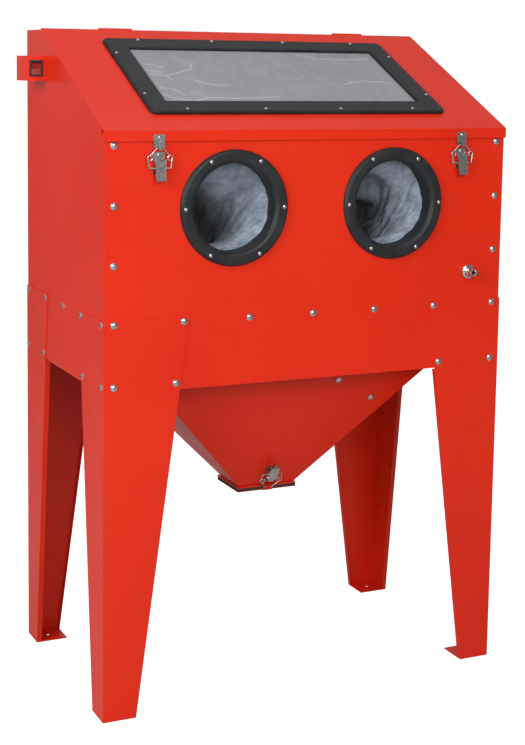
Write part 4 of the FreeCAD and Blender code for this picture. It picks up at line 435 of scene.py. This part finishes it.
# Each crease runs through a few places, as shares of the half width and half height.
CREASES = [
    ((-0.98, 0.02), (-0.87, -0.02), (-0.74, 0.11), (-0.63, 0.26), (-0.59, 0.48)),
    ((-0.87, -0.02), (-0.83, -0.20)),
    ((-0.97, 0.42), (-0.90, 0.40), (-0.84, 0.31)),
    ((-0.98, 0.20), (-0.88, 0.14)),
    ((-0.98, -0.46), (-0.88, -0.52), (-0.82, -0.74)),
    ((-0.98, -0.68), (-0.92, -0.86), (-0.78, -0.94), (-0.65, -0.83), (-0.40, -0.86), (-0.10, -0.80)),
    ((-0.66, -0.20), (-0.55, -0.34), (-0.43, -0.36)),
    ((0.34, 0.90), (0.50, 0.74), (0.72, 0.70), (0.95, 0.78)),
    ((0.52, -0.30), (0.70, -0.16), (0.94, -0.22)),
]


def distance_to_crease(spot, crease):
    nearest = 1.0
    for start, stop in zip(crease[:-1], crease[1:]):
        first = Vector((start[0] * FILM_REACH.x, start[1] * FILM_REACH.y))
        run = Vector((stop[0] * FILM_REACH.x, stop[1] * FILM_REACH.y)) - first
        share = max(0.0, min(1.0, (spot - first).dot(run) / run.length_squared))
        nearest = min(nearest, (spot - first - run * share).length)
    return nearest


def lifted_film():
    """A sheet of film that lies on the pane and stands up a little along its creases."""
    film_shape = bmesh.new()
    bmesh.ops.create_grid(film_shape, x_segments=200, y_segments=84, size=1)
    bmesh.ops.scale(film_shape, vec=(FILM_REACH.x, FILM_REACH.y, 1), verts=film_shape.verts)
    lift = film_shape.verts.layers.float.new("lift")
    for point in film_shape.verts:
        spot = point.co.xy
        waver = Vector((noise.noise(point.co * 30.0), noise.noise(point.co * 30.0 + Vector((5, 5, 5)))))
        nearest = min(distance_to_crease(spot + waver * 0.004, crease) for crease in CREASES)
        point[lift] = math.exp(-((nearest / CREASE_WIDTH) ** 2))
        slack = 0.00015 * noise.noise(point.co * 14.0) + 0.0002
        point.co.z = PANE_HALF_THICKNESS + FILM_CLEAR_OF_PANE + slack + CREASE_HEIGHT * point[lift]
    low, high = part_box("window_glass")
    bmesh.ops.rotate(
        film_shape,
        verts=film_shape.verts,
        cent=(0, 0, 0),
        matrix=Matrix.Rotation(math.radians(FILM_SLOPE), 3, "X"),
    )
    bmesh.ops.translate(film_shape, verts=film_shape.verts, vec=(low + high) / 2)
    for face in film_shape.faces:
        face.smooth = True
    film_mesh = bpy.data.meshes.new("window_film")
    film_shape.to_mesh(film_mesh)
    film_shape.free()
    film = bpy.data.objects.new("window_film", film_mesh)
    bpy.context.collection.objects.link(film)
    film.modifiers.new("film_gauge", "SOLIDIFY").thickness = 0.0001
    return film


def grey_film():
    finish, tree, shader, place = new_finish("grey_film")
    lift = tree.nodes.new("ShaderNodeAttribute")
    lift.attribute_name = "lift"
    haze = spread(tree, speckle(tree, place, 18.0, 6.0, 1.2), 0.0, 1.0)
    sheet = blend_colours(tree, haze, FILM_GREY, FILM_HAZE)
    tree.links.new(blend_colours(tree, lift.outputs["Fac"], sheet, FILM_CREASE), shader.inputs["Base Color"])
    tree.links.new(spread(tree, haze, 0.30, 0.42, 0.0, 1.0), shader.inputs["Roughness"])
    relief(tree, speckle(tree, place, 90.0, 4.0, 2.0), 0.0004, shader, 0.25)
    return finish


window_film = lifted_film()
window_film.data.materials.append(grey_film())
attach(window_film, "lid")

# ---------------------------------------------------------------- gloves
# Long gauntlets of coated cotton drill, sewn with one seam along the sleeve. Each cuff is
# stretched over the ring's collar and clamped, and the sleeve hangs limp into the chamber.
GLOVE_DARK = (0.130, 0.165, 0.210)
# Painted shade: the near-black colour the sleeve turns to from 0.10 m to 0.19 m along it, standing in for
# the dark hollow deep inside.
GLOVE_PAINTED_SHADE = (0.006, 0.008, 0.010)
PAINTED_SHADE_FROM = 0.10
PAINTED_SHADE_TO = 0.19
GLOVE_LIGHT = (0.270, 0.335, 0.410)
GLOVE_RUBBED = (0.440, 0.480, 0.510)
GLOVE_THREAD = (0.020, 0.028, 0.045)
CUFF_RADIUS = 0.0986
CUFF_LENGTH = 0.024
SLEEVE_LENGTH = 0.38
ROUND_SLEEVE = 88
ALONG_SLEEVE = 72
CLOTH_THICKNESS = 0.0014
HAND_LENGTH = 0.10
SEAM_TURN = 0.73
BEND_LENGTH = 0.06
SWAY_LENGTH = 0.17
FALLING_FRAMES = 14


def split_sleeve(tree, woven):
    """How far round the sleeve and how far along it a place is, in metres."""
    parted = tree.nodes.new("ShaderNodeSeparateXYZ")
    tree.links.new(woven, parted.inputs["Vector"])
    return parted.outputs["X"], parted.outputs["Y"]


def sewn_seam(tree, around):
    """One along the seam at the bottom of the sleeve, and nought away from it."""
    beside = tree.nodes.new("ShaderNodeMath")
    beside.operation = "SUBTRACT"
    beside.inputs[1].default_value = SEAM_TURN * math.tau * CUFF_RADIUS
    tree.links.new(around, beside.inputs[0])
    away = tree.nodes.new("ShaderNodeMath")
    away.operation = "ABSOLUTE"
    tree.links.new(beside.outputs[0], away.inputs[0])
    return spread(tree, away.outputs[0], 1.0, 0.0, 0.0008, 0.0022)


def drill_cloth():
    finish, tree, shader, place = new_finish("coated_drill")
    woven = tree.nodes.new("ShaderNodeUVMap")
    woven.uv_map = "sleeve"
    mottle = spread(tree, speckle(tree, place, 34.0, 7.0, 0.6), 0.0, 1.0, 0.36, 0.66)
    cloth = blend_colours(tree, mottle, GLOVE_DARK, GLOVE_LIGHT)
    streaks = tree.nodes.new("ShaderNodeMapping")
    streaks.inputs["Scale"].default_value = (260.0, 60.0, 1.0)
    tree.links.new(woven.outputs["UV"], streaks.inputs["Vector"])
    rub = spread(tree, speckle(tree, streaks.outputs["Vector"], 1.0, 4.0, 0.5), 0.0, 0.55, 0.5, 0.75)
    rubbed = blend_colours(tree, rub, cloth, GLOVE_RUBBED)
    around, along = split_sleeve(tree, woven.outputs["UV"])
    # Painted shade: the cloth colour blends to near-black with reach along the sleeve, standing in for the
    # shade of the deep hollow.
    with_painted_shade = blend_colours(tree, spread(tree, along, 0.0, 1.0, PAINTED_SHADE_FROM, PAINTED_SHADE_TO), rubbed, GLOVE_PAINTED_SHADE)
    seam = sewn_seam(tree, around)
    tree.links.new(blend_colours(tree, seam, with_painted_shade, GLOVE_THREAD), shader.inputs["Base Color"])
    tree.links.new(spread(tree, mottle, 0.62, 0.8, 0.0, 1.0), shader.inputs["Roughness"])
    shader.inputs["Sheen Weight"].default_value = 0.25
    twill = tree.nodes.new("ShaderNodeTexWave")
    twill.bands_direction = "DIAGONAL"
    twill.inputs["Scale"].default_value = 220.0
    twill.inputs["Distortion"].default_value = 1.5
    tree.links.new(woven.outputs["UV"], twill.inputs["Vector"])
    weave = relief(tree, twill.outputs["Fac"], 0.0006, shader, 0.4)
    ridge = relief(tree, seam, 0.0016, shader, 1.0)
    tree.links.new(weave.outputs["Normal"], ridge.inputs["Normal"])
    return finish


def cut_sleeve(name, centre, fall, sway, rumple):
    """The glove as sewn: a straight tapering sleeve, closed at the hand, before it drops."""
    sleeve = bmesh.new()
    turn = sleeve.verts.layers.float.new("turn")
    reach = sleeve.verts.layers.float.new("reach")
    bmesh.ops.create_circle(sleeve, segments=ROUND_SLEEVE, radius=CUFF_RADIUS)
    upright = Matrix.Rotation(math.radians(-90), 3, "X")
    bmesh.ops.rotate(sleeve, verts=sleeve.verts, cent=(0, 0, 0), matrix=upright)
    bmesh.ops.translate(sleeve, verts=sleeve.verts, vec=centre)
    row = list(sleeve.verts)
    edges = list(sleeve.edges)
    middle = centre.copy()
    middles = [middle]
    step = SLEEVE_LENGTH / ALONG_SLEEVE
    radius = CUFF_RADIUS
    for count in range(ALONG_SLEEVE + 1):
        for point in row:
            offset = point.co - middle
            point[turn] = math.atan2(offset.z, offset.x) / math.tau % 1.0
            point[reach] = count * step
        if count == ALONG_SLEEVE:
            break
        made = bmesh.ops.extrude_edge_only(sleeve, edges=edges)["geom"]
        row = [part for part in made if isinstance(part, bmesh.types.BMVert)]
        edges = [part for part in made if isinstance(part, bmesh.types.BMEdge)]
        gone = (count + 1) * step
        bend = min(max(gone - CUFF_LENGTH, 0.0) / BEND_LENGTH, 1.0)
        aside = sway * bend * max(1.0 - gone / SWAY_LENGTH, 0.0)
        move = Vector((aside, 1.0, -fall * bend)).normalized() * step
        bmesh.ops.translate(sleeve, verts=row, vec=move)
        middle = middle + move
        middles.append(middle)
        left = max(SLEEVE_LENGTH - gone, 0.0)
        hand = math.sqrt(min(left / HAND_LENGTH, 1.0))
        wanted = max((CUFF_RADIUS - 0.05 * max(gone - CUFF_LENGTH, 0.0)) * hand, 0.012)
        share = wanted / radius
        radius = wanted
        shrink = Matrix.Translation(-middle)
        bmesh.ops.scale(sleeve, vec=(share, 1, share), verts=row, space=shrink)
    bmesh.ops.contextual_create(sleeve, geom=edges)
    folds, twist, deep = rumple
    for point in sleeve.verts:
        inside = min(max(point[reach] - CUFF_LENGTH, 0.0) / BEND_LENGTH, 1.0)
        wave = math.sin(folds * math.tau * point[turn] + twist * point[reach])
        crumple = noise.noise(point.co * 16.0)
        outward = point.co - middles[round(point[reach] / step)]
        outward.y = 0.0
        point.co += outward.normalized() * inside * deep * (wave - 1.0 + 0.8 * crumple)
    bmesh.ops.recalc_face_normals(sleeve, faces=sleeve.faces)
    laid = sleeve.loops.layers.uv.new("sleeve")
    for face in sleeve.faces:
        face.smooth = True
        turns = [corner.vert[turn] for corner in face.loops]
        wraps = max(turns) - min(turns) > 0.5
        for corner in face.loops:
            around = corner.vert[turn] + (1.0 if wraps and corner.vert[turn] < 0.5 else 0.0)
            corner[laid].uv = (around * math.tau * CUFF_RADIUS, corner.vert[reach])
    cut_area = sum(face.calc_area() for face in sleeve.faces)
    mesh = bpy.data.meshes.new(name)
    sleeve.to_mesh(mesh)
    sleeve.free()
    glove = bpy.data.objects.new(name, mesh)
    bpy.context.collection.objects.link(glove)
    pinned = glove.vertex_groups.new(name="cuff")
    held = [point.index for point in mesh.vertices if point.co.y < centre.y + CUFF_LENGTH]
    pinned.add(held, 1.0, "REPLACE")
    return glove, cut_area


def let_it_hang(glove):
    """Drop the sleeve under its own weight onto the grate and keep the result."""
    scene = bpy.context.scene
    shelf_shape = bmesh.new()
    bmesh.ops.create_grid(shelf_shape, x_segments=1, y_segments=1, size=0.45)
    shelf_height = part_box("work_grate")[1].z + 0.002
    bmesh.ops.translate(shelf_shape, verts=shelf_shape.verts, vec=(0, 0, shelf_height))
    shelf_mesh = bpy.data.meshes.new("shelf_for_gloves")
    shelf_shape.to_mesh(shelf_mesh)
    shelf_shape.free()
    shelf = bpy.data.objects.new("shelf_for_gloves", shelf_mesh)
    bpy.context.collection.objects.link(shelf)
    shelf.modifiers.new("solid", "COLLISION")
    cloth = glove.modifiers.new("hang", "CLOTH")
    cloth.settings.quality = 6
    cloth.settings.mass = 0.12
    cloth.settings.tension_stiffness = 14
    cloth.settings.compression_stiffness = 14
    cloth.settings.shear_stiffness = 6
    cloth.settings.bending_stiffness = 1.2
    cloth.settings.vertex_group_mass = "cuff"
    cloth.collision_settings.distance_min = 0.003
    cloth.collision_settings.use_self_collision = True
    cloth.collision_settings.self_distance_min = 0.003
    cloth.point_cache.frame_start = 1
    cloth.point_cache.frame_end = FALLING_FRAMES
    for frame_number in range(1, FALLING_FRAMES + 1):
        scene.frame_set(frame_number)
    depsgraph = bpy.context.evaluated_depsgraph_get()
    settled = glove.evaluated_get(depsgraph)
    hung = bpy.data.meshes.new_from_object(settled, preserve_all_data_layers=True, depsgraph=depsgraph)
    glove.modifiers.clear()
    glove.data = hung
    scene.frame_set(1)
    bpy.data.objects.remove(shelf)


def sew_glove(name, ring, fall, sway, rumple):
    low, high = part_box(ring)
    centre = Vector(((low.x + high.x) / 2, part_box("front_panel")[0].y + 0.004, (low.z + high.z) / 2))
    glove, cut_area = cut_sleeve(name, centre, fall, sway, rumple)
    let_it_hang(glove)
    for point in glove.data.vertices:
        point.co.y = max(point.co.y, centre.y - 0.001)
    finer = glove.modifiers.new("finer", "SUBSURF")
    finer.levels = 1
    finer.render_levels = 1
    cloth_wall = glove.modifiers.new("cloth_wall", "SOLIDIFY")
    cloth_wall.thickness = CLOTH_THICKNESS
    cloth_wall.offset = 0.0
    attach(glove, "cabinet")
    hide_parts(name.replace("_cloth", ""))
    return glove


# Each glove drops and sways to the left, with its own number, twist and depth of folds.
left_glove = sew_glove("glove_left_cloth", "glove_ring_left", 0.30, -1.60, (2, 16.0, 0.012))
right_glove = sew_glove("glove_right_cloth", "glove_ring_right", 0.40, -1.30, (3, 34.0, 0.018))
GLOVE_CLOTH = drill_cloth()
left_glove.data.materials.append(GLOVE_CLOTH)
right_glove.data.materials.append(GLOVE_CLOTH)
